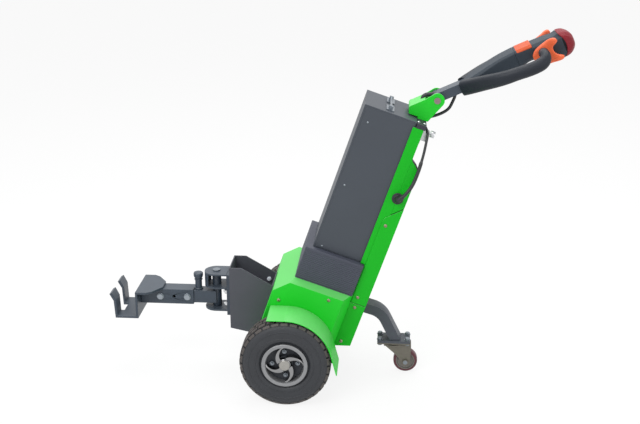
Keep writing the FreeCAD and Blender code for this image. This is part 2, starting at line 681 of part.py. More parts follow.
# ---------------------------------------------------------------- tiller bracket and pivot
def tiller_bracket():
    nose = (BRACKET_NOSE, PIVOT_U - BRACKET_NOSE_DROP)
    tip = (BRACKET_NOSE + 2, nose[1] + 5)
    bend = (BRACKET_NOSE + 9, nose[1] + 11)
    brow = (BRACKET_NOSE + 36, nose[1] + 37)
    chin = (BRACKET_NOSE + 5, CAP_TOP + 5)
    outline = [(COLUMN_FRONT, CAP_TOP), (COLUMN_BACK + 8, CAP_TOP),
               (PIVOT_V + LUG_R * 0.97, PIVOT_U - LUG_R * 0.25), (PIVOT_V, PIVOT_U),
               (PIVOT_V - LUG_R * 0.7, PIVOT_U + LUG_R * 0.71), brow, bend, tip, nose, chin,
               (COLUMN_FRONT, CAP_TOP + 5)]
    lug = plate_y(outline, LUG_OUT - LUG_T, LUG_OUT)
    lug = lug.fuse(rod(LUG_R, V(PIVOT_V, LUG_OUT - LUG_T, PIVOT_U), V(PIVOT_V, LUG_OUT, PIVOT_U)))
    inside = LUG_OUT - LUG_T
    base = box(COLUMN_FRONT, COLUMN_BACK + 8, -inside, inside, CAP_TOP, CAP_TOP + LUG_T)
    web = plate_y([chin, nose, tip, bend, brow, (brow[0] + 3, brow[1] - 4),
                   (bend[0] + 2, bend[1] - 5), (tip[0] + 3, tip[1] - 4), (nose[0] + 4, nose[1]),
                   (chin[0] + 4, chin[1])], -inside, inside)
    whole = fused(lug, mirrored(lug), base, web)
    hole = rod(PIN_R, V(PIVOT_V, -60, PIVOT_U), V(PIVOT_V, 60, PIVOT_U))
    return lean(whole.cut(hole))


def tiller_pin():
    pivot = leaned_point(PIVOT_V, 0, PIVOT_U)
    end = V(0, LUG_OUT + 2, 0)
    return rod(PIN_R, pivot - end, pivot + end)


# ---------------------------------------------------------------- tiller
def tiller_arm():
    reach = NECK_START + ARM_INSERT
    tube = box(6, reach, -ARM_HALF_W, ARM_HALF_W, ARM_LOW, ARM_HIGH)
    hollow = box(ARM_BOSS_R + 6, reach + 1, -ARM_HALF_W + ARM_WALL, ARM_HALF_W - ARM_WALL,
                 ARM_LOW + ARM_WALL, ARM_HIGH - ARM_WALL)
    half = LUG_OUT - LUG_T - SIDE_GAP
    boss = rod(ARM_BOSS_R, V(0, -half, 0), V(0, half, 0))
    whole = fused(tube.cut(hollow), boss)
    return tilt(whole.cut(rod(PIN_R + RUN_FIT, V(0, -60, 0), V(0, 60, 0))))


def neck_block():
    return loft([eight_sided(*section) for section in NECK_SECTIONS])


def tiller_shroud():
    reach = NECK_START + ARM_INSERT
    pocket = box(0, reach, -ARM_HALF_W, ARM_HALF_W, ARM_LOW, ARM_HIGH)
    return tilt(neck_block().cut(pocket))


def head_block():
    return loft([eight_sided(*section) for section in HEAD_SECTIONS])


def tiller_head():
    stub = rod(STUB_R, V(STUB_S, -STUB_HALF_L, STUB_T), V(STUB_S, STUB_HALF_L, STUB_T))
    return tilt(fused(head_block(), stub))


def nose_button():
    return tilt(loft([eight_sided(*section) for section in NOSE_SECTIONS]))


def top_button():
    """Pad that wraps over the head's top corners."""
    half = TOP_PAD_HALF_W
    side_top = TOP_PAD_HIGH - TOP_PAD_CORNER
    flat = half - TOP_PAD_CORNER
    section = [(-half, TOP_PAD_LOW), (-half, side_top), (-flat, TOP_PAD_HIGH),
               (flat, TOP_PAD_HIGH), (half, side_top), (half, TOP_PAD_LOW)]
    pad = face([V(HEAD_START + 4, y, t) for y, t in section]).extrude(V(TOP_PAD_L, 0, 0))
    return tilt(pad.cut(head_block()))


def grip_size(s):
    """Half width and half height: tall by the neck and drawn in to the stub at the end."""
    share = min(1.0, max(0.0, (STUB_S - s) / (STUB_S - GRIP_ROUTE[6][0] + 6)))
    root = max(0.0, (GRIP_ROUTE[4][0] - s) / (GRIP_ROUTE[4][0] - GRIP_ROUTE[0][0]))
    tall = GRIP_HALF_H + root * GRIP_ROOT_H
    return STUB_R + (GRIP_HALF_W - STUB_R) * share, STUB_R + (tall - STUB_R) * share


def hand_grip():
    path = [V(*place) for place in GRIP_ROUTE]
    sections = []
    for i, place in enumerate(path):
        before = path[max(i - 1, 0)]
        after = path[min(i + 1, len(path) - 1)]
        along = after - before
        along.z = 0
        along.normalize()
        if i == len(path) - 1:
            along = V(0, -1, 0)
        across = V(along.y, -along.x, 0)
        wide, tall = grip_size(place.x)
        ring = [place + across * (wide * math.cos(a)) + Z * (tall * math.sin(a))
                for a in [2 * math.pi * k / 16 for k in range(16)]]
        sections.append(Part.makePolygon(ring + [ring[0]]))
    loop = loft(sections)
    loop = loop.cut(neck_block()).cut(head_block())
    return max(loop.Solids, key=lambda piece: piece.Volume)


def butterfly():
    """Thumb wing: a round back on the axle beside the head and two horns that flare out."""
    centre = STUB_T - BUTTERFLY_DROP
    back = rod(BUTTERFLY_R, V(STUB_S, BUTTERFLY_IN, centre), V(STUB_S, BUTTERFLY_OUT, centre))
    horns = [plate_y([(STUB_S + s, STUB_T + t) for s, t in outline], HORN_IN, HORN_OUT)
             for outline in (HORN_LOW, HORN_HIGH)]
    whole = fused(back, *horns)
    hole = rod(STUB_R, V(STUB_S, 0, STUB_T), V(STUB_S, 200, STUB_T))
    return whole.cut(hole)


# ---------------------------------------------------------------- coupling bin and clevis
def bin_outline(inset, top_gap):
    a = math.radians(LEAN)
    base = leaned_point(BODY_FRONT - BIN_WALL, 0, 0)
    top_z = BIN_BACK_Z + top_gap
    low_z = BIN_LOW_BACK + inset
    top_x = base.x + (top_z - base.z) * math.tan(a)
    low_x = base.x + (low_z - base.z) * math.tan(a)
    return [(BIN_FRONT + inset, BIN_LOW_FRONT + inset), (BIN_FRONT + inset, BIN_TOP + top_gap),
            (BIN_RIM_END, BIN_TOP + top_gap), (top_x, top_z), (low_x, low_z)]


def coupling_bin():
    skin = plate_y(bin_outline(0, 0), -BIN_HALF_W, BIN_HALF_W)
    room = plate_y(bin_outline(BIN_WALL, 60), -BIN_HALF_W + BIN_WALL, BIN_HALF_W - BIN_WALL)
    a = math.radians(LEAN)
    low = (BIN_LOW_BACK - leaned_point(BODY_FRONT, 0, 0).z) / math.cos(a)
    high = (BIN_BACK_Z - leaned_point(BODY_FRONT, 0, 0).z) / math.cos(a)
    back = lean(box(BODY_FRONT - BIN_WALL, BODY_FRONT, -BIN_HALF_W, BIN_HALF_W, low, high))
    return fused(skin.cut(room), back)


def clevis_plate(top, thick):
    ear = rod(CLEVIS_R, V(KINGPIN_X, 0, top - thick), V(KINGPIN_X, 0, top))
    tail = box(KINGPIN_X, BIN_FRONT - CLEVIS_BACK_T, -CLEVIS_R, CLEVIS_R, top - thick, top)
    return ear.fuse(tail)


def clevis():
    back = box(BIN_FRONT - CLEVIS_BACK_T, BIN_FRONT, -CLEVIS_R - 1, CLEVIS_R + 1,
               CLEVIS_LOW - 18, CLEVIS_TOP - 1)
    top = clevis_plate(CLEVIS_TOP, PLATE)
    middle = clevis_plate(CLEVIS_MID, PLATE)
    low = clevis_plate(CLEVIS_LOW, PLATE + 1)
    spacer = rod(BUSH_R, V(KINGPIN_X, 0, CLEVIS_MID), V(KINGPIN_X, 0, CLEVIS_TOP - PLATE))
    guard = rod(CLEVIS_R, V(KINGPIN_X, 0, CLEVIS_MID), V(KINGPIN_X, 0, CLEVIS_TOP - PLATE))
    guard = guard.cut(rod(CLEVIS_R - 4, V(KINGPIN_X, 0, 0), V(KINGPIN_X, 0, 400)))
    guard = guard.common(box(KINGPIN_X - 60, KINGPIN_X - CLEVIS_R * 0.6, -60, 60, 0, 400))
    nuts = [rod(7, V(BIN_FRONT - CLEVIS_BACK_T - 6, y, z), V(BIN_FRONT - CLEVIS_BACK_T, y, z))
            for y in (-29, 29) for z in (CLEVIS_LOW + 19, CLEVIS_MID - 14)]
    whole = fused(back, top, middle, low, spacer, guard, *nuts)
    return whole.cut(rod(KINGPIN_R, V(KINGPIN_X, 0, 0), V(KINGPIN_X, 0, 400)))


def kingpin():
    low = CLEVIS_LOW - PLATE - 1
    shank = rod(KINGPIN_R, V(KINGPIN_X, 0, low - 9), V(KINGPIN_X, 0, CLEVIS_TOP))
    head = rod(12, V(KINGPIN_X, 0, CLEVIS_TOP), V(KINGPIN_X, 0, CLEVIS_TOP + 4))
    nut = rod(11, V(KINGPIN_X, 0, low - 8), V(KINGPIN_X, 0, low))
    return fused(shank, head, nut)


# ---------------------------------------------------------------- drawbar and hook
def square_tube(x0, x1, half):
    return box(x0, x1, -half, half, BAR_Z - half, BAR_Z + half)


def bar_holes(radius):
    return [rod(radius, V(x, -60, BAR_Z), V(x, 60, BAR_Z)) for x in BOLT_X]


def cross_hole():
    return rod(CROSS_HOLE_R, V(CROSS_HOLE_X, -60, BAR_Z), V(CROSS_HOLE_X, 60, BAR_Z))


def drawbar_outer():
    half = BAR_OUTER / 2
    tube = square_tube(BAR_FRONT, BAR_OUTER_END, half)
    tube = tube.cut(square_tube(BAR_FRONT + BAR_WALL, BAR_OUTER_END + 1, half - BAR_WALL))
    return tube.cut(bar_holes(BOLT_R) + [cross_hole()])


def drawbar_inner():
    half = BAR_OUTER / 2 - BAR_WALL
    tube = square_tube(BAR_INNER_FRONT, KINGPIN_X, half)
    tube = tube.cut(square_tube(BAR_INNER_FRONT - 1, KINGPIN_X - 26, half - BAR_WALL))
    low = CLEVIS_LOW + SIDE_GAP
    high = CLEVIS_MID - PLATE - SIDE_GAP
    bush = rod(BUSH_R, V(KINGPIN_X, 0, low), V(KINGPIN_X, 0, high))
    tube = tube.cut(bar_holes(BOLT_R) + [cross_hole()])
    bore = rod(KINGPIN_R + RUN_FIT, V(KINGPIN_X, 0, 0), V(KINGPIN_X, 0, 400))
    return fused(tube, bush).cut(bore)


def drawbar_bolts():
    half = BAR_OUTER / 2
    pieces = []
    for x in BOLT_X:
        shank = rod(BOLT_R, V(x, -half, BAR_Z), V(x, half, BAR_Z))
        head = rod(BOLT_HEAD_R, V(x, -half - 6, BAR_Z), V(x, -half, BAR_Z))
        nut = rod(BOLT_HEAD_R - 1, V(x, half, BAR_Z), V(x, half + 9, BAR_Z))
        pieces.append(fused(shank, head, nut))
    return Part.makeCompound(pieces)


def lock_plunger():
    low = BAR_Z + BAR_OUTER / 2 - BAR_WALL
    post = rod(PLUNGER_R, V(PLUNGER_X, 0, low), V(PLUNGER_X, 0, PLUNGER_TOP - 10))
    cap = turned_z([(0, PLUNGER_TOP - 10), (PLUNGER_CAP_R, PLUNGER_TOP - 10),
                    (PLUNGER_CAP_R, PLUNGER_TOP - 4), (PLUNGER_CAP_R - 5, PLUNGER_TOP),
                    (0, PLUNGER_TOP)], PLUNGER_X, 0)
    return fused(post, cap)


def hook_fork():
    """One bent plate: two upright prongs, floor, back and the leaf welded on the drawbar."""
    t = HOOK_T
    back = BAR_FRONT
    leaf_low = BAR_Z + BAR_OUTER / 2
    strip = plate_y([(HOOK_FRONT, HOOK_FLOOR), (HOOK_FRONT - 3, HOOK_BEND_Z),
                     (HOOK_TIP_X, HOOK_TIP_Z), (HOOK_TIP_X + 8, HOOK_TIP_Z + 5),
                     (HOOK_FRONT + 5, HOOK_BEND_Z + 2), (HOOK_FRONT + t, HOOK_FLOOR + t),
                     (back - t, HOOK_FLOOR + t), (back - t, leaf_low + t), (back, leaf_low + t),
                     (back, HOOK_FLOOR)], -HOOK_HALF_W, HOOK_HALF_W)
    notch = box(HOOK_TIP_X - 20, HOOK_NOTCH, -HOOK_GAP_HALF, HOOK_GAP_HALF, 0, 400)
    half = BAR_OUTER / 2
    leaf = plate_z([(back - t, -HOOK_HALF_W), (back + 26, -HOOK_HALF_W), (back + 44, -62),
                    (LEAF_END, -half), (LEAF_END, half), (back + 44, 62),
                    (back + 26, HOOK_HALF_W), (back - t, HOOK_HALF_W)], leaf_low, leaf_low + t)
    return fused(strip.cut(notch), leaf)


# ---------------------------------------------------------------- caster
def caster_arm():
    """Bent tube from the column's foot down to the plate that the caster bolts to."""
    start = leaned_point(COVER_BACK, 0, ARM_ROOT_U)
    knee = V(ARM_KNEE_X, 0, ARM_KNEE_Z)
    plate_top = PLATE_LOW + 12
    run = (STEM_X + 5 - ARM_KNEE_X) / (ARM_KNEE_Z - plate_top)
    end = V(STEM_X + 5 + 24 * run, 0, plate_top - 24)
    path, radii = rounded_route([start, knee, end])
    along = (knee - start).normalize()
    up = V(-along.z, 0, along.x)
    w = ARM_TUBE_W / 2
    h = ARM_TUBE_H / 2
    corners = [start + Y * a + up * b for a, b in ((-w, -h), (w, -h), (w, h), (-w, h))]
    tube = path.makePipeShell([Part.makePolygon(corners + [corners[0]])], True, False)
    tube = tube.cut(box(STEM_X - 90, STEM_X + 90, -w - 1, w + 1, 0, plate_top - 4))
    plate = box(STEM_X - PLATE_HALF_L, STEM_X + PLATE_HALF_L, -PLATE_HALF_W, PLATE_HALF_W,
                PLATE_LOW + 4, plate_top)
    heads = [rod(6.5, V(STEM_X + x, y, plate_top), V(STEM_X + x, y, plate_top + 7))
             for x in (-43, 43) for y in (-20, 20)]
    whole = fused(tube, plate, *heads)
    skin = lean(box(COLUMN_BACK, COVER_BACK, -200, 200, 0, 500))
    return whole.cut(skin)


def caster_plate():
    plate = box(STEM_X - PLATE_HALF_L, STEM_X + PLATE_HALF_L, -PLATE_HALF_W, PLATE_HALF_W,
                PLATE_LOW, PLATE_LOW + 4)
    race = rod(23, V(STEM_X, 0, CROWN_TOP + 0.4), V(STEM_X, 0, PLATE_LOW))
    return fused(plate, race).cut(rod(STEM_R + RUN_FIT, V(STEM_X, 0, 0), V(STEM_X, 0, 200)))


def caster_fork():
    half = CASTER_HUB_HALF_W + 0.3
    crown = box(STEM_X - 30, CASTER_X + 17, -half - FORK_T, half + FORK_T, CROWN_TOP - 4,
                CROWN_TOP)
    dish = rod(26, V(STEM_X, 0, CROWN_TOP - 4), V(STEM_X, 0, CROWN_TOP))
    side = [(STEM_X - 30, CROWN_TOP), (CASTER_X + 17, CROWN_TOP), (CASTER_X + 17, 66),
            (CASTER_X + 14, CASTER_R), (CASTER_X - 13.5, CASTER_R - 3.5), (CASTER_X - 21, 50),
            (STEM_X, 68)]
    leg = plate_y(side, half, half + FORK_T)
    leg = leg.fuse(rod(14, V(CASTER_X, half, CASTER_R), V(CASTER_X, half + FORK_T, CASTER_R)))
    stem = rod(STEM_R, V(STEM_X, 0, CROWN_TOP - 2), V(STEM_X, 0, PLATE_LOW + 3.5))
    out = half + FORK_T
    bolt = rod(CASTER_BOLT_R, V(CASTER_X, -out, CASTER_R), V(CASTER_X, out, CASTER_R))
    head = rod(9, V(CASTER_X, -out - 6, CASTER_R), V(CASTER_X, -out, CASTER_R))
    nut = rod(9, V(CASTER_X, out, CASTER_R), V(CASTER_X, out + 7, CASTER_R))
    return fused(crown, dish, leg, mirrored(leg), stem, bolt, head, nut)


def caster_tread():
    w = CASTER_TREAD_HALF_W
    inner = CASTER_R - CASTER_TREAD_T
    return turned_y([(-w, inner), (-w, CASTER_R - 3), (-w + 3, CASTER_R), (w - 3, CASTER_R),
                     (w, CASTER_R - 3), (w, inner)], CASTER_X, CASTER_R)


def caster_hub():
    w = CASTER_TREAD_HALF_W - 1
    inner = CASTER_R - CASTER_TREAD_T
    bore = CASTER_BOLT_R + RUN_FIT
    side = CASTER_HUB_HALF_W
    return turned_y([(-w, inner), (w, inner), (w, inner - 4), (w - 5, inner - 6), (w - 5, 13),
                     (side, 11), (side, bore), (-side, bore), (-side, 11), (-w + 5, 13),
                     (-w + 5, inner - 6), (-w, inner - 4)], CASTER_X, CASTER_R)


# ---------------------------------------------------------------- cables
def cable_gland():
    skin = COLUMN_HALF_W
    ring = turned_y([(-skin, 0), (-skin, GLAND_R), (-skin - 4, GLAND_R),
                     (-skin - GLAND_H, 11), (-skin - GLAND_H, 0)], GLAND_V, GLAND_U)
    return lean(ring)


def column_cable():
    """From the gland up past the ear and into the back of the column's cap."""
    out = COLUMN_HALF_W + GLAND_H
    neck = COLUMN_TOP - EAR_TOP
    places = [(GLAND_V, -out, GLAND_U)]
    places += [(GLAND_V + v, -out - y, GLAND_U + u) for v, y, u in CABLE_BEND]
    places += [(CABLE_TOP_V[0], -CABLE_TOP_Y[0], EAR_TOP + neck * 0.26),
               (CABLE_TOP_V[1], -CABLE_TOP_Y[1], EAR_TOP + neck * 0.70),
               (CABLE_TOP_V[2], -CABLE_TOP_Y[2], COLUMN_TOP - 1),
               (COLUMN_BACK - 2, -CABLE_TOP_Y[3], COLUMN_TOP + 10)]
    whole = cable([leaned_point(*place) for place in places], CABLE_R)
    return whole.cut(lean(box(0, COLUMN_BACK + CAP_LAP, -200, 0, COLUMN_TOP - 19, CAP_TOP)))


def tiller_cable():
    """Loop from the bracket's base, between its plates, to the underside of the tiller arm."""
    start = leaned_point(COLUMN_BACK - 1, 0, CAP_TOP)
    places = [start] + [start + V(x, 0, z) for x, z in TILLER_CABLE_BEND]
    places.append(tilted_point(TILLER_CABLE_S, 0, ARM_LOW + 5))
    print("tiller cable starts at z = %.1f" % start.z)
    whole = cable(places, CABLE_R)
    base = lean(box(0, COLUMN_BACK + 8, -CABLE_R * 2, CABLE_R * 2, 0, CAP_TOP + LUG_T))
    arm = tilt(box(0, NECK_START * 2, -ARM_HALF_W, ARM_HALF_W, ARM_LOW, ARM_HIGH))
    return whole.cut(base).cut(arm)


# ---------------------------------------------------------------- all the nodes
def nodes():
    wheel = placed_wheel(rim())
    tyre_left = placed_wheel(tyre())
    shaft = half_shaft()
    grip = hand_grip()
    wing = butterfly()
    return {
        "tyre_left": tyre_left,
        "tyre_right": mirrored(tyre_left),
        "rim_left": wheel,
        "rim_right": mirrored(wheel),
        "half_shaft_left": shaft,
        "half_shaft_right": mirrored(shaft),
        "axle_housing": axle_housing(),
        "drive_motor": drive_motor(),
        "main_frame": main_frame(),
        "body_cover": body_cover(),
        "fenders": both_sides(fender()),
        "column": column(),
        "upper_rear_cover": upper_rear_cover(),
        "lower_rear_cover": lower_rear_cover(),
        "foot_cover": foot_cover(),
        "column_cap": column_cap(),
        "strap_bracket": strap_bracket(),
        "strap_knob": strap_knob(),
        "battery_tray": battery_tray(),
        "battery_box": battery_box(),
        "battery_pack": battery_pack(),
        "lift_handle": lift_handle(),
        "tiller_bracket": tiller_bracket(),
        "tiller_pin": tiller_pin(),
        "tiller_arm": tiller_arm(),
        "tiller_shroud": tiller_shroud(),
        "tiller_head": tiller_head(),
        "nose_button": nose_button(),
        "top_button": top_button(),
        "hand_grips": both_sides(tilt(grip)),
        "butterflies": both_sides(tilt(wing)),
        "coupling_bin": coupling_bin(),
        "clevis": clevis(),
        "kingpin": kingpin(),
        "drawbar_outer": drawbar_outer(),
        "drawbar_inner": drawbar_inner(),
        "drawbar_bolts": drawbar_bolts(),
        "lock_plunger": lock_plunger(),
        "hook_fork": hook_fork(),
        "caster_arm": caster_arm(),
        "caster_plate": caster_plate(),
        "caster_fork": caster_fork(),
        "caster_tread": caster_tread(),
        "caster_hub": caster_hub(),
        "cable_gland": cable_gland(),
        "column_cable": column_cable(),
        "tiller_cable": tiller_cable(),
    }


shapes = nodes()
whole = Part.makeCompound(list(shapes.values())).optimalBoundingBox(False)
shift = V(-(whole.XMin + whole.XMax) / 2, 0, 0)
print("axle at x = %.4f" % shift.x)
print("box %.2f x %.2f x %.2f, low %.3f" % (whole.XLength, whole.YLength, whole.ZLength, whole.ZMin))
os.makedirs("parts", exist_ok=True)
for name, shape in shapes.items():
    shape.translate(shift)
    print("%-18s solids %d valid %s volume %.0f" % (name, len(shape.Solids), shape.isValid(),
                                                   shape.Volume))
    shape.exportStep("parts/%s.step" % name)
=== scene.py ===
import math

import bmesh
import bpy
import numpy as np
from mathutils import Matrix, Vector

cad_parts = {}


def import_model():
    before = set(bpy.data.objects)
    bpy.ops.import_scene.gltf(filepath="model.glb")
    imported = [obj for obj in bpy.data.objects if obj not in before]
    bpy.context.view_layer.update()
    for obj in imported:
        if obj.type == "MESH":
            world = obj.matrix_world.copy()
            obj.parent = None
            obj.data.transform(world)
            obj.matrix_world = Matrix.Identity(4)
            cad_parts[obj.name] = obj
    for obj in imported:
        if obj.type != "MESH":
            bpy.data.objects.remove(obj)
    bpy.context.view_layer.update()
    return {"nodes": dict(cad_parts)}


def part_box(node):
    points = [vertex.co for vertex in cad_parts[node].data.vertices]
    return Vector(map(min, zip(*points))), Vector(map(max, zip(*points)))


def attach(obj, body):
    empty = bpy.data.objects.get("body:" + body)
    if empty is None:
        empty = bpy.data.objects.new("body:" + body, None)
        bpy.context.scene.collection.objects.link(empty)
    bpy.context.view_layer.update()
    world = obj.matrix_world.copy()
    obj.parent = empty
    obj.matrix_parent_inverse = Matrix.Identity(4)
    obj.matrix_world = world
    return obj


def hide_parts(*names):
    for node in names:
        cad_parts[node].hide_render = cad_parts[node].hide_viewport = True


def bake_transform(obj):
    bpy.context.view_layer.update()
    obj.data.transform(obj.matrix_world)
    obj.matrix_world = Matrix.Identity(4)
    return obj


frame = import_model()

# Walk-behind tow tractor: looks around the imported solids.  Sizes are in millimetres in the
# maker's own frame, which stands under the drive axle, and world() turns them to metres.

MM = 0.001
LEAN = math.radians(19.0)            # the column leans back from upright
RISE = math.radians(24.5)            # the tiller at rest
AXLE_X = (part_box("tyre_left")[0][0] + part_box("tyre_left")[1][0]) / 2
PIVOT_V, PIVOT_U = 115.2, 970.0      # the tiller's pivot on the leaning column
WHEEL_Y, WHEEL_Z = 221.0, 135.0      # middle of a drive wheel
TYRE_R = 135.0
SIDES = {"left": 1.0, "right": -1.0}
MERGE_M = 2e-6                       # points closer than this are one
ROUND_FROM = 34                      # degrees: flatter edges stay as they are


# ---------------------------------------- frames and meshes
def world(points):
    """Millimetres about the axle to metres in the model's frame: scale, then shift along x."""
    return np.asarray(points, float) * MM + np.array([AXLE_X, 0.0, 0.0])


def leaned(points):
    """(v, y, u) on the leaning column: x = u sin(lean) + v cos(lean), z = u cos - v sin."""
    v, y, u = np.moveaxis(np.asarray(points, float), -1, 0)
    s, c = math.sin(LEAN), math.cos(LEAN)
    return np.stack([u * s + v * c, y, u * c - v * s], -1)


def tilted(points):
    """(s, y, t) along and square to the tiller: turned up by its rise about the pivot."""
    s, y, t = np.moveaxis(np.asarray(points, float), -1, 0)
    pivot = leaned([PIVOT_V, 0.0, PIVOT_U])
    return np.stack([pivot[0] + s * math.cos(RISE) - t * math.sin(RISE), y,
                     pivot[2] + s * math.sin(RISE) + t * math.cos(RISE)], -1)


def grid(points, around=False, first=False, last=False):
    """A patch: rows x columns of points joined in quads; around joins the last column to the
    first, first and last fill the end rows."""
    points = np.asarray(points, float)
    rows, cols = points.shape[:2]
    i = np.arange(rows - 1)[:, None] * cols
    j = np.arange(cols if around else cols - 1)[None, :]
    k = (j + 1) % cols
    quads = np.stack(np.broadcast_arrays(i + j, i + k, i + cols + k, i + cols + j), -1)
    faces = quads.reshape(-1, 4).tolist()
    if first:
        faces.append(list(range(cols))[::-1])
    if last:
        faces.append(list(range((rows - 1) * cols, rows * cols)))
    return points.reshape(-1, 3), faces


def slab(outline, low, high, place):
    """A patch: a closed outline of (a, b) points carried from low to high across it, the ends
    filled; place says how (a, across, b) lies in the machine."""
    outline = np.asarray(outline, float)
    across = np.array([low, high], float)[:, None]
    a = np.broadcast_to(outline[:, 0], (2, len(outline)))
    b = np.broadcast_to(outline[:, 1], (2, len(outline)))
    points = np.stack([a, np.broadcast_to(across, a.shape), b], -1)
    return grid(place(points), around=True, first=True, last=True)


def unit(vectors):
    """Vectors along the last axis, scaled to length 1."""
    return vectors / np.linalg.norm(vectors, axis=-1, keepdims=True)


def turned(profile, origin, axis, count=48, flats=0):
    """A patch: a profile of (distance along the axis, radius) turned about the axis.  With
    flats, the radius is cut to the sides of a regular figure whose flat lies at that radius:
    r = flat / cos(angle from the middle of the flat), but no more than the corner chamfer."""
    profile = np.asarray(profile, float)
    axis = unit(np.asarray(axis, float))
    other = np.array([0.0, 0.0, 1.0]) if abs(axis[2]) < 0.9 else np.array([1.0, 0.0, 0.0])
    one = unit(np.cross(other, axis))
    two = np.cross(axis, one)
    angle = np.linspace(0, 2 * np.pi, count, endpoint=False)
    radius = np.broadcast_to(profile[:, 1:2], (len(profile), count))
    if flats:
        part = 2 * np.pi / flats
        off = (angle + part / 2) % part - part / 2
        radius = np.minimum(radius, profile[:, 1].max() * math.cos(part / 2) / np.cos(off))
    ring = np.cos(angle)[:, None] * one + np.sin(angle)[:, None] * two
    points = np.asarray(origin, float) + profile[:, 0, None, None] * axis
    return grid(points + radius[..., None] * ring, around=True)


def bolt_end(low, rim, top, place, out, count=48, flats=6):
    """A patch: a head, nut or stud turned about its bolt: straight from low to the rim, which
    is (distance, radius), then drawn in to the top, and closed there."""
    return turned([(low, 0), (low, rim[1]), rim, top, (top[0], 0)], place, out, count, flats)


def washer(thick, radius, place, out, count=32):
    """A patch: a plain disc of this thickness, turned about its bolt."""
    return turned([(0, 0), (0, radius), (thick, radius), (thick, 0)], place, out, count)


def smooth_line(points, count):
    """Points on a smooth line through the given ones: cubic pieces with the slope at each
    point taken from its neighbours, at even steps of the pieces."""
    p = np.asarray(points, float)
    p = np.concatenate([2 * p[:1] - p[1:2], p, 2 * p[-1:] - p[-2:-1]])
    spans = len(p) - 3
    at = np.linspace(0, spans, count)
    k = np.minimum(at.astype(int), spans - 1)
    f = (at - k)[:, None]
    a, b, c, d = p[k], p[k + 1], p[k + 2], p[k + 3]
    return 0.5 * (2 * b + (c - a) * f + (2 * a - 5 * b + 4 * c - d) * f ** 2
                  + (3 * b - a - 3 * c + d) * f ** 3)


def piece(name, patches, finish, body, stands_for=(), bevel=0.0, crease=32.0):
    """Joins patches in one mesh, closes its seams and poles, turns its faces out, and puts it
    on its body; bevel is the width in mm of its rounded edges."""
    faces = []
    start = 0
    for points, quads in patches:
        faces += [[start + i for i in quad] for quad in quads]
        start += len(points)
    mesh = bpy.data.meshes.new(name)
    mesh.from_pydata(world(np.concatenate([p for p, _ in patches])).tolist(), [], faces)
    made = bpy.data.objects.new(name, mesh)
    bpy.context.scene.collection.objects.link(made)
    work = bmesh.new()
    work.from_mesh(mesh)
    bmesh.ops.remove_doubles(work, verts=work.verts, dist=MERGE_M)
    bmesh.ops.recalc_face_normals(work, faces=work.faces)
    work.to_mesh(mesh)
    work.free()
    mesh.shade_smooth()
    mesh.set_sharp_from_angle(angle=math.radians(crease))
    mesh.materials.append(finish)
    if bevel:
        round_edges(made, bevel)
    if body:
        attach(made, body)
    if stands_for:
        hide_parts(*stands_for)
    return made


def round_edges(thing, width):
    """A live bevel of this width in mm on the edges that turn more than ROUND_FROM."""
    edge = thing.modifiers.new("rounded edges", "BEVEL")
    edge.width = width * MM
    edge.segments = 2
    edge.limit_method = "ANGLE"
    edge.angle_limit = math.radians(ROUND_FROM)
    edge.harden_normals = True


def dress(name, finish, width=0.0):
    """Gives a CAD node its material and, with a width in mm, rounded edges."""
    thing = frame["nodes"][name]
    thing.data.materials.clear()
    thing.data.materials.append(finish)
    if width:
        weld = thing.modifiers.new("joined faces", "WELD")
        weld.merge_threshold = 1e-5
        round_edges(thing, width)


# ---------------------------------------- materials
def linear(code):
    """sRGB hex to linear red, green, blue, alpha."""
    c = np.array([int(code[i:i + 2], 16) for i in (1, 3, 5)]) / 255.0
    c = np.where(c <= 0.04045, c / 12.92, ((c + 0.055) / 1.055) ** 2.4)
    return (*c.tolist(), 1.0)


def add(tree, kind, values=None, links=None, **settings):
    """Adds one shader node, by its short name, with its settings, socket values and links."""
    made = tree.nodes.new("ShaderNode" + kind)
    for key, value in settings.items():
        setattr(made, key, value)
    for key, value in (values or {}).items():
        made.inputs[key].default_value = value
    for key, source in (links or {}).items():
        tree.links.new(source, made.inputs[key])
    return made


def noise(tree, where, size_mm, detail):
    """Noise whose features are this many millimetres apart, from 0 to 1."""
    made = add(tree, "TexNoise", {"Scale": 1 / (size_mm * MM), "Detail": detail},
               {"Vector": where.outputs["Object"]})
    return made.outputs[0]


def start_finish(name, **shader):
    """A new material with its surface shader; returns it, its nodes and the shader."""
    made = bpy.data.materials.new(name)
    made.use_nodes = True
    tree = made.node_tree
    surface = tree.nodes["Principled BSDF"]
    for key, value in shader.items():
        surface.inputs[key.replace("_", " ")].default_value = value
    return made, tree, surface


# Painted haze: faces that look up are lightened by a pale film, standing in for the top light's
# sheen.
PAINTED_HAZE_FROM, PAINTED_HAZE_FULL = 0.15, 0.6


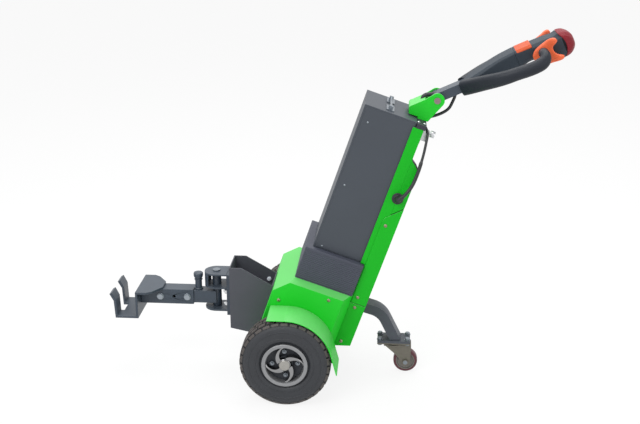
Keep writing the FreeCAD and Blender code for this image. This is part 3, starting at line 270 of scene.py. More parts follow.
def speckled(name, colours, spot_mm, grain_mm, grain_depth_mm, rough, film=0.0, **shader):
    """Two tones drifting over spot_mm, and a fine grain grain_mm apart and so deep; rough
    gives the lowest and highest roughness, which follow the grain.  film is the share of a pale
    painted haze, a painted sheen of the top light, that lies where a face looks up: none under
    the lower share of upright set above, all over the higher one."""
    made, tree, surface = start_finish(name, **shader)
    where = add(tree, "TexCoord")
    tones = add(tree, "Mix", {6: linear(colours[0]), 7: linear(colours[1])},
                {0: noise(tree, where, spot_mm, 3.0)}, data_type="RGBA")
    # The pale painted haze, a painted sheen of the top light where a face looks up
    if film:
        looks = add(tree, "SeparateXYZ", None, {0: where.outputs["Normal"]})
        lies = add(tree, "MapRange",
                   {"From Min": PAINTED_HAZE_FROM, "From Max": PAINTED_HAZE_FULL, "To Min": 0.0, "To Max": film},
                   {"Value": looks.outputs["Z"]}, interpolation_type="SMOOTHSTEP")
        tones = add(tree, "Mix", {7: linear("#F2F4F2")},
                    {0: lies.outputs["Result"], 6: tones.outputs[2]}, data_type="RGBA")
    tree.links.new(tones.outputs[2], surface.inputs["Base Color"])
    height = noise(tree, where, grain_mm, 2.0)
    bump = add(tree, "Bump", {"Strength": 1.0, "Distance": grain_depth_mm * MM},
               {"Height": height})
    tree.links.new(bump.outputs["Normal"], surface.inputs["Normal"])
    spread = add(tree, "MapRange", {"To Min": rough[0], "To Max": rough[1]},
                 {"Value": height})
    tree.links.new(spread.outputs["Result"], surface.inputs["Roughness"])
    return made


# Polyester powder coat, baked on sheet steel: satin, faint orange peel, and a thin pale
# painted haze on what looks up, a painted sheen of the top light.
GREEN = speckled("green powder coat", ("#14BE22", "#1AC628"), 90, 2.4, 0.05,
                 rough=(0.42, 0.54), film=0.13, IOR=1.36)
# The column's green is a shade deeper, under the same pale painted haze on what looks up.
LEAF = speckled("deep green powder coat", ("#04A814", "#08B01A"), 110, 2.4, 0.05,
                rough=(0.42, 0.54), film=0.12, IOR=1.32)
# Fine-texture powder coat: a sandy charcoal skin that breaks up reflections.
CHARCOAL = speckled("charcoal textured powder coat", ("#46474F", "#4D4E57"), 60, 1.1, 0.10,
                    rough=(0.50, 0.64), IOR=1.45)
# The column's top cap: darker, under the same sandy coat.
DUSK = speckled("dark textured powder coat", ("#2C2C34", "#33333B"), 50, 1.1, 0.08,
                rough=(0.50, 0.64), IOR=1.42)
# The battery case's smoother satin powder coat, slate grey.
SLATE = speckled("slate satin powder coat", ("#3C4149", "#41474F"), 120, 1.8, 0.04,
                 rough=(0.44, 0.54), IOR=1.45)
# Air-dry machine enamel on hot-rolled steel: bluish grey, a little uneven from the mill skin;
# a trace of pale painted haze on what looks up.
ENAMEL = speckled("grey enamel on hot-rolled steel", ("#2D3743", "#374350"), 35, 3.0, 0.08,
                  rough=(0.34, 0.48), film=0.02, IOR=1.52)
# Extruded and welded ABS tub, matte with a moulded grain.
TUB = speckled("moulded ABS tub", ("#3A3D49", "#3F4350"), 70, 0.9, 0.04,
               rough=(0.50, 0.62), IOR=1.48)
# Glass-filled nylon, injection moulded against a spark-eroded tool: even fine grain.
NYLON = speckled("glass-filled nylon", ("#28313A", "#2F3943"), 50, 0.8, 0.05,
                 rough=(0.52, 0.64), IOR=1.40)
# Thermoplastic rubber over-moulding on the grips: soft, dark, slightly blue.
GRIP = speckled("over-moulded grip rubber", ("#191E26", "#1F252E"), 45, 0.7, 0.05,
                rough=(0.44, 0.56), IOR=1.38)
# Injection-moulded ABS, tool polished to a satin gloss; the pad's orange is deeper.
ORANGE = speckled("orange moulded ABS", ("#E2633A", "#E86C42"), 40, 1.5, 0.02,
                  rough=(0.38, 0.46), IOR=1.40)
PAD = speckled("deep orange moulded ABS", ("#C04C22", "#C85428"), 40, 1.5, 0.02,
               rough=(0.44, 0.54), IOR=1.36)
RED = speckled("red moulded ABS", ("#7A1E27", "#84242E"), 30, 1.5, 0.02,
               rough=(0.44, 0.54), IOR=1.30)
# Cast aluminium, tumbled and polished: bright with a soft haze.
ALLOY = speckled("polished cast aluminium", ("#888889", "#9C9C9D"), 12, 0.8, 0.008,
                 rough=(0.09, 0.18), Metallic=1.0)
# The hub cap, machined and lightly brushed: a warm pale grey.
CAP = speckled("brushed aluminium cap", ("#9C9A95", "#A8A6A1"), 7, 0.7, 0.015,
               rough=(0.20, 0.30), Metallic=0.9)
# The rim's lip, left as turned: grey and dull.
LIP = speckled("turned aluminium lip", ("#8D8E90", "#999A9C"), 9, 0.9, 0.03,
               rough=(0.42, 0.55), Metallic=0.85)
# The rim's recess, sprayed satin black over the casting.
RECESS = speckled("black sprayed casting", ("#22252C", "#2A2D34"), 18, 1.4, 0.08,
                  rough=(0.45, 0.6), IOR=1.45)
# Zinc-plated fasteners: cool white metal with a slightly cloudy skin.
ZINC = speckled("bright zinc plate", ("#C6C8CA", "#D6D8DA"), 6, 0.7, 0.02,
                rough=(0.24, 0.38), Metallic=1.0)
# Zinc plate on the coupling's bolts, a little worn.
PLATED = speckled("worn zinc plate", ("#9299A0", "#A2A9B0"), 6, 0.7, 0.02,
                  rough=(0.30, 0.44), Metallic=1.0)
# The same plating gone dull under the truck.
DULL = speckled("weathered zinc plate", ("#787F86", "#8C9298"), 7, 0.8, 0.03,
                rough=(0.42, 0.56), Metallic=0.8)
# Zinc on the bin's bolts, made near-white and barely metallic as a painted glint, so it stays pale
# in the bin's shade.
PAINTED_GLINT_ZINC = speckled("pale zinc with painted glint", ("#DDE2EC", "#E8ECF4"), 5, 0.7, 0.02,
                  rough=(0.36, 0.48), Metallic=0.1)
# Steel pins, ground and left with a film of rust-preventing oil: grey with a warm cast.
OILED = speckled("oiled ground steel", ("#857878", "#998A88"), 8, 0.7, 0.03,
                 rough=(0.34, 0.48), Metallic=0.9)
# Yellow-passivated zinc of the sheet-metal screws on the body.
PASSIVATED = speckled("passivated zinc screws", ("#8C8670", "#9C9680"), 5, 0.7, 0.02,
                      rough=(0.30, 0.42), Metallic=0.9)
# Chromium plate on pressed steel, a little dulled by hands.
CHROME = speckled("chromium plate", ("#7A828A", "#8C949C"), 15, 1.0, 0.01,
                  rough=(0.26, 0.38), Metallic=1.0)
# Pressed steel of the caster, dull chromate finish with a khaki cast.
KHAKI = speckled("chromated pressed steel", ("#67635A", "#747067"), 14, 1.0, 0.05,
                 rough=(0.38, 0.52), Metallic=0.55)
# Satin grey powder coat of the caster's arm.
STONE = speckled("grey powder coat", ("#42464F", "#4A4E57"), 60, 1.4, 0.08,
                 rough=(0.44, 0.58), IOR=1.45)
# Grey cast iron of the caster's wheel centre.
IRON = speckled("grey cast iron", ("#6F6C68", "#7E7A75"), 10, 1.3, 0.08,
                rough=(0.46, 0.6), Metallic=0.6)
# Cast polyurethane tread: dark red, slightly waxy.
URETHANE = speckled("cast polyurethane", ("#4E1F29", "#5A2630"), 20, 1.2, 0.05,
                    rough=(0.34, 0.46), IOR=1.5)
# Grey iron casting of the axle under brushed-on primer and dark paint.
CASTING = speckled("painted iron casting", ("#2E3135", "#383B40"), 22, 2.2, 0.35,
                   rough=(0.48, 0.66), IOR=1.5)
# PVC sheath of the control cable, extruded, nearly black.
SHEATH = speckled("extruded PVC sheath", ("#1D1F22", "#232529"), 18, 1.0, 0.02,
                  rough=(0.36, 0.46), IOR=1.52)
# EPDM rubber of the gland and the boot.
EPDM = speckled("moulded black rubber", ("#202226", "#27292D"), 16, 1.1, 0.04,
                rough=(0.46, 0.58), IOR=1.5)
# Polypropylene case of the batteries.
CASE = speckled("polypropylene battery case", ("#1C1D1F", "#222326"), 30, 1.2, 0.04,
                rough=(0.40, 0.5), IOR=1.49)


def tyre_rubber():
    """Vulcanised natural rubber, press moulded: near-black, a little blue on the walls, and dust
    that greys the block faces.  The tread attribute is 1 on a block's face."""
    made, tree, surface = start_finish("vulcanised tyre rubber", IOR=1.52)
    where = add(tree, "TexCoord")
    walls = add(tree, "Mix", {6: linear("#222429"), 7: linear("#2E3136")},
                {0: noise(tree, where, 45, 4.0)}, data_type="RGBA")
    dust = noise(tree, where, 7, 5.0)
    worn = add(tree, "Mix", {6: linear("#353130"), 7: linear("#534D49")}, {0: dust},
               data_type="RGBA")
    tread = add(tree, "Attribute", attribute_name="tread")
    both = add(tree, "Mix", None,
               {0: tread.outputs["Fac"], 6: walls.outputs[2], 7: worn.outputs[2]},
               data_type="RGBA")
    tree.links.new(both.outputs[2], surface.inputs["Base Color"])
    bump = add(tree, "Bump", {"Strength": 1.0, "Distance": 0.12 * MM},
               {"Height": noise(tree, where, 1.6, 3.0)})
    tree.links.new(bump.outputs["Normal"], surface.inputs["Normal"])
    spread = add(tree, "MapRange", {"To Min": 0.46, "To Max": 0.66}, {"Value": dust})
    tree.links.new(spread.outputs["Result"], surface.inputs["Roughness"])
    return made


RUBBER = tyre_rubber()


# ---------------------------------------- drive wheels
TYRE_LINE = [(30.5, 58), (35.5, 60), (35.5, 69), (37.5, 72.5), (42, 76.5), (44, 84), (44.9, 96),
             (44.4, 106), (43.0, 114), (40.4, 122), (36.5, 129), (32.5, 133.2), (28.5, 134.6),
             (20, 135), (8, 135)]
BLOCKS = 30
GROOVE = 4.4                         # depth of the grooves
EDGE_HALF = 0.4                      # half the width of a groove's sloping wall
ROWS = ((8.6, 13.6), (29.6, 34.4))   # the grooves round the tyre, from the crown's middle
TREAD_EDGE = 43.0
JOINT_HALF, JOINT_EDGE = 0.10, 0.018  # half a joint and half its wall, shares of a block
RIDGES = (63.1, 83.5)                # raised rings on the wall
RIDGE_HALF, RIDGE_RISE = 1.2, 0.9
SHOULDER_STEP = 1.6                  # the wall starts this far below the tread


def tyre_patch(side):
    """Tyre: a line of (y, radius) from bead to bead turned about the axle, less the tread's
    grooves.  Depth = groove depth where the distance along the line lies between two rows, or
    where the angle lies near a row's block joint; rows next to each other step half a block."""
    half = np.array(TYRE_LINE, float)
    line = np.concatenate([half, half[::-1] * (-1, 1)])
    line = smooth_line(line, 420)
    line[:, 1] = np.minimum(line[:, 1], TYRE_R)
    run = np.concatenate([[0], np.cumsum(np.hypot(*np.diff(line, axis=0).T))])
    walls = np.add.outer(np.ravel(ROWS), [-EDGE_HALF, EDGE_HALF]).ravel()
    rows = np.concatenate([[0], walls, [39, 42.6, 43.6, 46, 50]])
    ridges = np.array(RIDGES)[:, None] + np.array([-1.6, -0.9, 0, 0.9, 1.6])
    wall = np.concatenate([[54, 58], ridges[0], [67, 71, 75, 79], ridges[1],
                           np.linspace(87, run[-1] / 2, 8)])
    stops = np.concatenate([-wall[::-1], -rows[::-1], rows[1:], wall]) + run[-1] / 2
    y = np.interp(stops, run, line[:, 0])
    r = np.interp(stops, run, line[:, 1])
    across = np.abs(stops - run[-1] / 2)
    slope = np.gradient(np.stack([y, r], -1), stops, axis=0)
    normal = unit(np.stack([-slope[:, 1], slope[:, 0]], -1))
    normal *= np.where(normal[:, 1] * (across < 40) + normal[:, 0] * y * (across >= 40) < 0,
                       -1.0, 1.0)[:, None]
    near, far = JOINT_HALF - JOINT_EDGE, JOINT_HALF + JOINT_EDGE
    joints = np.add.outer([0, 0.5], [0, near, far, 0.25, 0.5 - far, 0.5 - near]).ravel()
    turn = (np.arange(BLOCKS)[:, None] + joints[None, :]).ravel() / BLOCKS
    row = np.searchsorted([11.2, 32.2, 60.0], across)
    between = np.any([(across > low) & (across < high) for low, high in ROWS], axis=0)
    phase = (turn[:, None] * BLOCKS + np.where(row == 1, 0.5, 0.0)[None, :]) % 1.0
    joint = np.minimum(phase, 1 - phase) < JOINT_HALF
    blocky = across < TREAD_EDGE
    cut = (joint | between[None, :]) & blocky[None, :]
    step = SHOULDER_STEP * np.clip((52.0 - across) / 6.0, 0, 1) * (across > TREAD_EDGE)
    depth = np.where(cut, GROOVE, 0.0) + step[None, :]
    ridge = sum(RIDGE_RISE * (np.abs(across - place) < RIDGE_HALF) for place in RIDGES)
    lift = ridge[None, :] - depth
    yy = y + normal[:, 0] * lift
    rr = r + normal[:, 1] * lift
    a = (turn * 2 * np.pi)[:, None]
    points = np.stack([rr * np.cos(a), side * (WHEEL_Y + yy), WHEEL_Z + rr * np.sin(a)], -1)
    inner = points[:, [-1, 0]]
    points = np.concatenate([points, inner[:, 1:]], axis=1)
    tread = ((~cut) & blocky[None, :]).astype(float)
    tread = np.concatenate([tread, tread[:, :1]], axis=1)
    closed = np.concatenate([points, points[:1]])
    return grid(closed), np.concatenate([tread, tread[:1]]).ravel()


def hub_point(side, angle, radius, y):
    """A point on the wheel: angle in degrees in the x-z plane, y out from its middle plane."""
    a = np.radians(angle)
    return np.stack(np.broadcast_arrays(radius * np.cos(a), side * (WHEEL_Y + y),
                                        WHEEL_Z + radius * np.sin(a)), -1)


SPOKES, SPOKE_START = 4, 59          # the first one's angle at SPOKE_IN, degrees
SPOKE_IN, SPOKE_OUT, SPOKE_SWEEP = 19, 57, -55.0
LIP_R = 58.0
STUD_CIRCLE, STUD_START = 38.0, 2.0  # radius, and the first stud's angle in degrees
RECESS_FLOOR = 21.5                  # out from the wheel's middle plane


def spoke_patch(side, start_deg):
    """One swirled spoke.  Its middle line runs out from the nave while its angle falls evenly,
    by SPOKE_SWEEP from radius SPOKE_IN to SPOKE_OUT; the line's heading is that angle plus
    atan(radius x fall per mm).  Its half width falls from 9.3 to 2.9 as (1 - along)^1.7 and
    opens a little at the lip.  Across it the top is domed, y rising as (1 - share^2)^0.5, and
    the sides drop to the recess."""
    along = np.linspace(0, 1, 30)[:, None]
    across = np.linspace(-1, 1, 17)[None, :]
    radius = 17 + 41.5 * along
    fall = math.radians(SPOKE_SWEEP) / (SPOKE_OUT - SPOKE_IN)
    angle = math.radians(start_deg) + fall * (radius - SPOKE_IN)
    heading = angle + np.arctan(radius * fall)
    width = 2.9 + 6.4 * (1 - along) ** 1.7 + 2.4 * np.clip(along - 0.86, 0, 1) / 0.14
    x = radius * np.cos(angle) - across * width * np.sin(heading)
    z = radius * np.sin(angle) + across * width * np.cos(heading)
    dome = np.sqrt(np.clip(1 - across ** 2, 0, 1))
    crown = 2.2 * (1 - np.abs(across) ** 1.6) + 2.0 * np.sin(np.pi * along)
    y = 24 + 13.2 * np.clip(dome * 2.2, 0, 1) ** 0.6 + crown * (dome > 0)
    far = np.hypot(x, z)
    x, z = x * np.minimum(1, LIP_R / far), z * np.minimum(1, LIP_R / far)
    top = np.stack([x, side * (WHEEL_Y + y), WHEEL_Z + z], -1)
    low = top.copy()
    low[..., 1] = side * (WHEEL_Y + 22)
    shell = np.concatenate([top, low[:, ::-1]], axis=1)
    return grid(shell, around=True, first=True, last=True)


def drive_wheel(side_name):
    """Tyre, rim lip, recess, nuts, spokes and cap of one wheel, on its own body."""
    side = SIDES[side_name]
    body = "wheel_" + side_name
    out = (0.0, side, 0.0)
    centre = (0.0, side * WHEEL_Y, WHEEL_Z)
    patch, tread = tyre_patch(side)
    made = piece("tyre_tread_" + side_name, [patch], RUBBER, body,
                 ["tyre_" + side_name], crease=28)
    spots = made.data.attributes.new("tread", "FLOAT", "POINT")
    # Points were merged along the two closing seams, so the mask is looked up by place
    old = world(patch[0])
    new = np.zeros(len(made.data.vertices) * 3)
    made.data.vertices.foreach_get("co", new)
    order = {key: value for key, value in zip(map(tuple, np.round(old, 5).tolist()), tread)}
    keys = map(tuple, np.round(new.reshape(-1, 3), 5).tolist())
    spots.data.foreach_set("value", np.array([order.get(key, 0.0) for key in keys], np.float32))
    lip = [(44.5, 58.6), (44.5, 66.2), (43.6, 67.7), (41.0, 67.8), (36.4, 67.2), (36.2, 59.5),
           (30, 57.9), (-30, 57.9), (-36.2, 59.5), (-36.4, 67.2), (-41, 67.8), (-44.3, 66.5),
           (-44.3, 57), (-40, 54.5), (20, 54.5), (36, 54.6), (42, 56.2), (44.0, 57.2),
           (44.5, 58.6)]
    piece("rim_lip_" + side_name, [turned(lip, centre, out, 128)], LIP, body,
          ["rim_" + side_name], crease=30)
    well = [(18, 0), (18, 54.8), (23, 54.8), (23, 46), (RECESS_FLOOR, 43), (RECESS_FLOOR, 27),
            (27, 24), (27, 0)]
    nuts = []
    studs = []
    for k in range(SPOKES):
        place = hub_point(side, 360 / SPOKES * k + STUD_START, STUD_CIRCLE, RECESS_FLOOR)
        nuts.append(bolt_end(0, (5.2, 7.6), (6.4, 6.7), place, out))
        studs.append(bolt_end(0, (10.5, 3.6), (11.4, 2.8), place, out, 24, 0))
    piece("rim_recess_" + side_name, [turned(well, centre, out, 96)], RECESS, body)
    piece("wheel_nuts_" + side_name, nuts + studs, DULL, body, crease=25)
    spokes = [spoke_patch(side, SPOKE_START + 360 / SPOKES * k) for k in range(SPOKES)]
    nave = [(22, 0), (22, 20), (31, 20), (35.6, 19.4), (39.0, 17.8), (40.4, 15.9), (40.4, 0)]
    piece("rim_spokes_" + side_name, spokes + [turned(nave, centre, out, 72)], ALLOY, body,
          crease=40)
    cap = [(39.5, 0), (39.5, 16.2), (43.2, 16.2), (44.7, 15.0), (45.8, 12.4), (46.5, 8.4),
           (46.9, 4), (47.0, 0)]
    piece("hub_cap_" + side_name, [turned(cap, centre, out, 64)], CAP, body, crease=25)
    dress("half_shaft_" + side_name, ZINC)


for side_name in SIDES:
    drive_wheel(side_name)


# ---------------------------------------- caster
CASTER_X, CASTER_R = 354.8, 37.5
tread_line = [(-12.9, 29.5), (-12.9, 33.5), (-12.0, 36.0), (-9.5, 37.2), (-5, 37.5), (5, 37.5),
              (9.5, 37.2), (12.0, 36.0), (12.9, 33.5), (12.9, 29.5), (-12.9, 29.5)]
hub_line = [(-16.9, 6.2), (-16.9, 10.5), (-15, 11.6), (-8.5, 13.2), (-8.0, 22.5), (-9.5, 25.5),
            (-12, 26.5), (-12.4, 29.4), (12.4, 29.4), (12, 26.5), (9.5, 25.5), (8.0, 22.5),
            (8.5, 13.2), (15, 11.6), (16.9, 10.5), (16.9, 6.2), (-16.9, 6.2)]
middle = (CASTER_X, 0.0, CASTER_R)
piece("caster_tyre", [turned(tread_line, middle, (0, 1, 0), 96)], URETHANE, "caster_wheel",
      ["caster_tread"])
piece("caster_wheel_centre", [turned(hub_line, middle, (0, 1, 0), 96)], IRON, "caster_wheel",
      ["caster_hub"])
dress("caster_fork", KHAKI, 0.9)
bolt_ends = [bolt_end(0, (5.4, 8.0), (6.6, 6.8), (CASTER_X, side * 20.3, CASTER_R),
                      (0, side, 0)) for side in (-1, 1)]
piece("caster_bolt_ends", bolt_ends, DULL, "caster_swivel", crease=25)
dress("caster_plate", KHAKI, 0.6)
dress("caster_arm", STONE, 2.0)
PLATE_TOP, PLATE_UNDER = 112.5, 100.5
plate_bolts = []
for x in (274.0, 360.0):
    for y in (-20.0, 20.0):
        plate_bolts.append(washer(1.6, 9.6, (x, y, PLATE_TOP), (0, 0, 1)))
        plate_bolts.append(bolt_end(1.6, (6.6, 7.6), (7.8, 6.6), (x, y, PLATE_TOP), (0, 0, 1)))
        plate_bolts.append(bolt_end(0, (4.4, 7.2), (5.4, 6.2), (x, y, PLATE_UNDER), (0, 0, -1)))
piece("caster_plate_bolts", plate_bolts, DULL, "chassis", crease=25)


# ---------------------------------------- sheet metal and frame
for name, width in (("body_cover", 1.2), ("fenders", 0.9), ("tiller_bracket", 1.2)):
    dress(name, GREEN, width)
for name in ("column", "upper_rear_cover", "lower_rear_cover", "foot_cover"):
    dress(name, LEAF, 1.0)
dress("main_frame", CHARCOAL, 0.8)
dress("axle_housing", CASTING)
dress("drive_motor", CASTING)
dress("column_cap", DUSK, 1.4)
dress("coupling_bin", CHARCOAL, 1.2)
dress("battery_box", SLATE, 1.6)
dress("battery_pack", CASE, 2.0)
for name, width in (("clevis", 1.0), ("drawbar_outer", 1.2), ("drawbar_inner", 2.4),
                    ("hook_fork", 1.2), ("tiller_arm", 2.6)):
    dress(name, ENAMEL, width)
dress("kingpin", DULL, 0.8)
dress("tiller_pin", OILED, 0.8)
dress("strap_bracket", ZINC, 0.6)
dress("strap_knob", ZINC, 1.2)
dress("lift_handle", CHROME, 0.6)


SCREW_LINE = [(-1, 5.0), (0.2, 5.4), (0.9, 5.3), (1.8, 4.6), (2.5, 3.2), (2.7, 2.0), (1.5, 1.8),
              (1.5, 0)]
SCREW_R = 5.4


def screw_head(radius, place, out):
    """Low button head with a small socket: a domed profile turned about the screw, scaled by
    radius / SCREW_R."""
    return turned(np.array(SCREW_LINE) * (radius / SCREW_R), place, out, 28)


# Where the screws stand on the leaning column: v, half the width, u
SIDE_SCREWS = ((-121.6, 150, 268.1), (18.2, 150, 319.7))
COVER_SCREWS = ((101.0, 105.5, 187.0), (100.1, 105.5, 340.5), (102.7, 105.5, 306.5),
                (100.0, 105.5, 583.6))
BOX_SCREWS = ((-53.8, 97.2, 856.4), (-53.8, 97.2, 657.5), (-53.8, 97.2, 456.3))
screws = []
for v, y, u in SIDE_SCREWS + COVER_SCREWS:
    for side in (-1, 1):
        screws.append(screw_head(SCREW_R, leaned([v, side * y, u]), (0, side, 0)))
piece("body_screws", screws, PASSIVATED, "chassis", crease=40)
screws = [screw_head(2.9, leaned([v, side * y, u]), (0, side, 0))
          for v, y, u in BOX_SCREWS for side in (-1, 1)]
piece("box_screws", screws, PLATED, "chassis", crease=40)
lean_up = leaned([0, 0, 1.0])
screws = [screw_head(4.4, leaned([v, side * y, 902.8]), lean_up)
          for v, y in ((83.5, 78.0), (101.5, 78.0)) for side in (-1, 1)]
piece("cap_screws", screws, ZINC, "chassis", crease=40)


def box_panels():
    """Raised side sheets of the battery case: one thin slab a side with cut corners."""
    outline = [(-72, 450), (76, 450), (76, 899), (-66, 899), (-72, 893)]
    return [slab(outline, side * 95.6, side * 97.2, leaned) for side in (-1, 1)]


piece("box_side_sheets", box_panels(), SLATE, "chassis", bevel=0.7)


RIB_PITCH, RIB_DEPTH, RIBS = 5.75, 1.1, 16


def ribbed_tub():
    """Battery tub: a round-cornered rectangle carried up its height and drawn in between the
    ribs: inset = RIB_DEPTH x (0.5 + 0.5 cos(2 pi height / RIB_PITCH))^1.5, and none at the top
    band."""
    corner = 3.0
    v0, v1, half = -99.0, 83.0, 118.0
    turns = np.radians(np.linspace(0, 90, 5))
    ring = []
    for cv, cy, start in ((v1 - corner, half - corner, 0), (v0 + corner, half - corner, 90),
                          (v0 + corner, -half + corner, 180), (v1 - corner, -half + corner, 270)):
        a = turns + math.radians(start)
        ring.append(np.stack([cv + corner * np.cos(a), cy + corner * np.sin(a)], -1))
    ring = np.concatenate(ring)
    heights = np.concatenate([[342.2], np.linspace(345, 437, RIBS * 8 + 1), [437.6, 445.2, 446.0]])
    ribs = RIB_DEPTH * (0.5 + 0.5 * np.cos((heights - 345) / RIB_PITCH * 2 * np.pi)) ** 1.5
    ribs[0], ribs[-3], ribs[-2], ribs[-1] = 0.4, 0.0, 0.0, 0.8
    centre = np.array([(v0 + v1) / 2, 0.0])
    away = ring - centre
    step = np.sign(away) * (np.abs(away) > np.array([(v1 - v0) / 2, half]) - corner - 0.01)
    points = ring[None] - step[None] * ribs[:, None, None]
    full = np.concatenate([points[..., :1], points[..., 1:2],
                           np.broadcast_to(heights[:, None, None], points.shape[:2] + (1,))], -1)
    return grid(leaned(full), around=True, first=True, last=True)


piece("ribbed_tub", [ribbed_tub()], TUB, "chassis", ["battery_tray"], crease=50)


# ---------------------------------------- coupling
BAR_Z = 239.0
bolts = []
for x in (-414.0, -329.0):
    for side in (-1, 1):
        place = (x, side * 24.0, BAR_Z)
        bolts.append(turned([(0, 0), (0, 11.0), (1.6, 11.0), (2.0, 10.6), (2.0, 0)], place,
                            (0, side, 0), 40))
        bolts.append(bolt_end(2, (4.8, 9.8), (5.9, 8.6), place, (0, side, 0)))
piece("drawbar_bolt_heads", bolts, PLATED, "drawbar", ["drawbar_bolts"], crease=25)
post = [(258.9, 0), (258.9, 13.4), (262.5, 13.4), (264, 12.2), (264, 10.6), (289, 10.6),
        (290, 12.6), (293, 12.6), (294, 10.4), (298, 10.4), (299, 13.6), (302, 13.6),
        (303, 14.8), (311, 14.8), (313.6, 13.2), (315, 9.5), (315, 0)]
piece("plunger_post", [turned(post, (-296.0, 0, 0), (0, 0, 1), 56)], ENAMEL, "drawbar",
      ["lock_plunger"], crease=30)
clevis_nuts = []
for y in (-29.0, 29.0):
    for z in (225.0, 265.0):
        outer, inner = (-202.0, y, z), (-186.0, y, z)
        clevis_nuts.append(bolt_end(0, (4.6, 9.2), (6.4, 8.0), outer, (-1, 0, 0)))
        clevis_nuts.append(bolt_end(0, (9.4, 4.2), (10.4, 3.2), outer, (-1, 0, 0), 24, 0))
        clevis_nuts.append(bolt_end(0, (4.6, 8.4), (5.6, 7.4), inner, (1, 0, 0)))
piece("clevis_bolts", clevis_nuts, ZINC, "chassis", crease=25)
# Bolts inside the bin, near-white with a painted glint
bin_bolts = []
for side in (-1, 1):
    place = (-80.0, side * 51.0, 277.0)
    bin_bolts.append(washer(1.4, 7.0, place, (0, -side, 0)))
    bin_bolts.append(bolt_end(1.4, (5.4, 5.6), (6.4, 4.6), place, (0, -side, 0)))
piece("bin_bolts", bin_bolts, PAINTED_GLINT_ZINC, "chassis", crease=25)


# ---------------------------------------- tiller
def facets(stations, corner_mm, steps=6):
    """A moulded body along the tiller.  Each station gives s, half width, low, high, the size
    of its cut corners and how far its sides bulge along s.  A section is an eight-sided figure
    whose corners are rounded: each is the curve (1-f)^2 a + 2f(1-f) corner + f^2 b between
    points a and b set corner_mm back along its two sides.  The bulge adds
    arch x (1 - (height share)^2) x (width share)^2 to s."""
    values = smooth_line(stations, (len(stations) - 1) * steps + 1)
    s, w, low, high, cut, arch = values.T[:, :, None]
    y = np.concatenate([w, w, w - cut, cut - w, -w, -w, cut - w, w - cut], 1)
    t = np.concatenate([low + cut, high - cut, high, high, high - cut, low + cut, low, low], 1)
    ring = np.stack([y, t], -1)
    ahead = np.roll(ring, -1, 1) - ring
    length = np.linalg.norm(ahead, axis=-1, keepdims=True)
    ahead = ahead / length
    behind = np.roll(ahead, 1, 1)
    back = np.minimum(corner_mm, 0.45 * np.minimum(length, np.roll(length, 1, 1)))
    f = np.linspace(0, 1, 5)[None, None, :, None]
    a, b = (ring - behind * back)[:, :, None], (ring + ahead * back)[:, :, None]
    bend = (1 - f) ** 2 * a + 2 * f * (1 - f) * ring[:, :, None] + f ** 2 * b
    left = length[:, :, None] - back[:, :, None] - np.roll(back, -1, 1)[:, :, None]
    side = b + ahead[:, :, None] * left * np.linspace(0.2, 0.8, 4)[None, None, :, None]
    ring = np.concatenate([bend, side], 2).reshape(len(values), -1, 2)
    rise = (ring[..., 1] - (low + high) / 2) / (high - low) * 2
    s = s + arch * (1 - rise ** 2) * (ring[..., 0] / w) ** 2
    return grid(tilted(np.stack([s, ring[..., 0], ring[..., 1]], -1)), around=True, first=True,
                last=True)


neck = facets([(77, 33.6, -15.2, 16.9, 5, 0), (80, 34.4, -15.6, 17.6, 5.2, 0),
               (108, 38.8, -17.3, 23, 6, 0), (140, 43, -19, 29.5, 7, 0),
               (173, 42.6, -18.8, 36, 6.6, 0), (205, 42.2, -17.6, 41, 6.2, 0),
               (228, 42, -12.8, 43, 6.2, 0), (249.2, 41.8, -7, 44.4, 6.2, 0)], 2.2)
piece("tiller_neck", [neck], NYLON, "tiller", ["tiller_shroud"], crease=40)
head = facets([(249.9, 41.8, -7, 44.4, 6.2, 0), (262, 41.4, -5, 44.2, 6.6, 0),
               (273, 41, -1.6, 43.6, 7, 0), (291, 40.6, -1, 42.8, 8, 0),
               (302, 41, -8.5, 42.2, 9, 0), (314, 41.6, -21, 42, 10, 1),
               (324, 42.2, -27.4, 41.8, 10.6, 2), (340, 43, -28.9, 41.6, 11.2, 4),
               (352, 43, -29, 40.4, 12.2, 6.5), (362, 43, -29, 39.8, 13, 9.5),
               (370, 43.6, -29, 41, 12.8, 11.5), (374.8, 44.4, -29, 42.6, 12.4, 13)], 2.6)
piece("tiller_head_shell", [head], NYLON, "tiller", ["tiller_head"], crease=40)
collar = facets([(372, 42.8, -27.2, 41, 12.4, 12.8), (376.5, 42.8, -27.2, 41.4, 12.4, 12.8),
                 (379.5, 42.6, -26.8, 41.4, 12.4, 12)], 3.0, 3)
piece("head_joint", [collar], EPDM, "tiller", crease=40)
nose = facets([(377, 43.6, -27.8, 42.6, 12.4, 12.6), (378, 44.8, -28.8, 44, 12.6, 12.3),
               (386, 44.4, -28, 43.4, 12.9, 8), (394, 43, -26, 41, 13.5, 4.5),
               (401, 39.8, -22.3, 36.8, 13.5, 2), (407.4, 34.4, -17.2, 30.8, 12.5, 0.6),
               (412.2, 27, -11.2, 24, 10, 0), (414.4, 20.5, -6.5, 18.6, 8, 0),
               (415, 14, -1.5, 14, 5.5, 0)], 5.0)
piece("nose_cap", [nose], RED, "tiller", ["nose_button"], crease=60)
pad = [(-40.9, 35.4), (-41.5, 38.2), (-34.8, 45.3), (34.8, 45.3), (41.5, 38.2), (40.9, 35.4)]
piece("thumb_pad", [slab(pad, 254.3, 299.6, lambda p: tilted(p[..., [1, 0, 2]]))], PAD,
      "tiller", ["top_button"], bevel=1.5)
STUB_R = 14.5                        # the axle that carries the wings and joins the loops
stub = [turned([(-96, 0), (-96, STUB_R - 0.3), (96, STUB_R - 0.3), (96, 0)],
               tilted([322.0, 0, 14.0]), (0, 1, 0), 48)]
piece("butterfly_axle", stub, NYLON, "tiller")


WING_Y, WING_FLARE, WING_HALF = 56, 16, 8.2
FLARE_FROM, FLARE_RUN = 335, 30
RUNGS, WING_END = 85, 0.09           # WING_END: the share of the band that rounds off


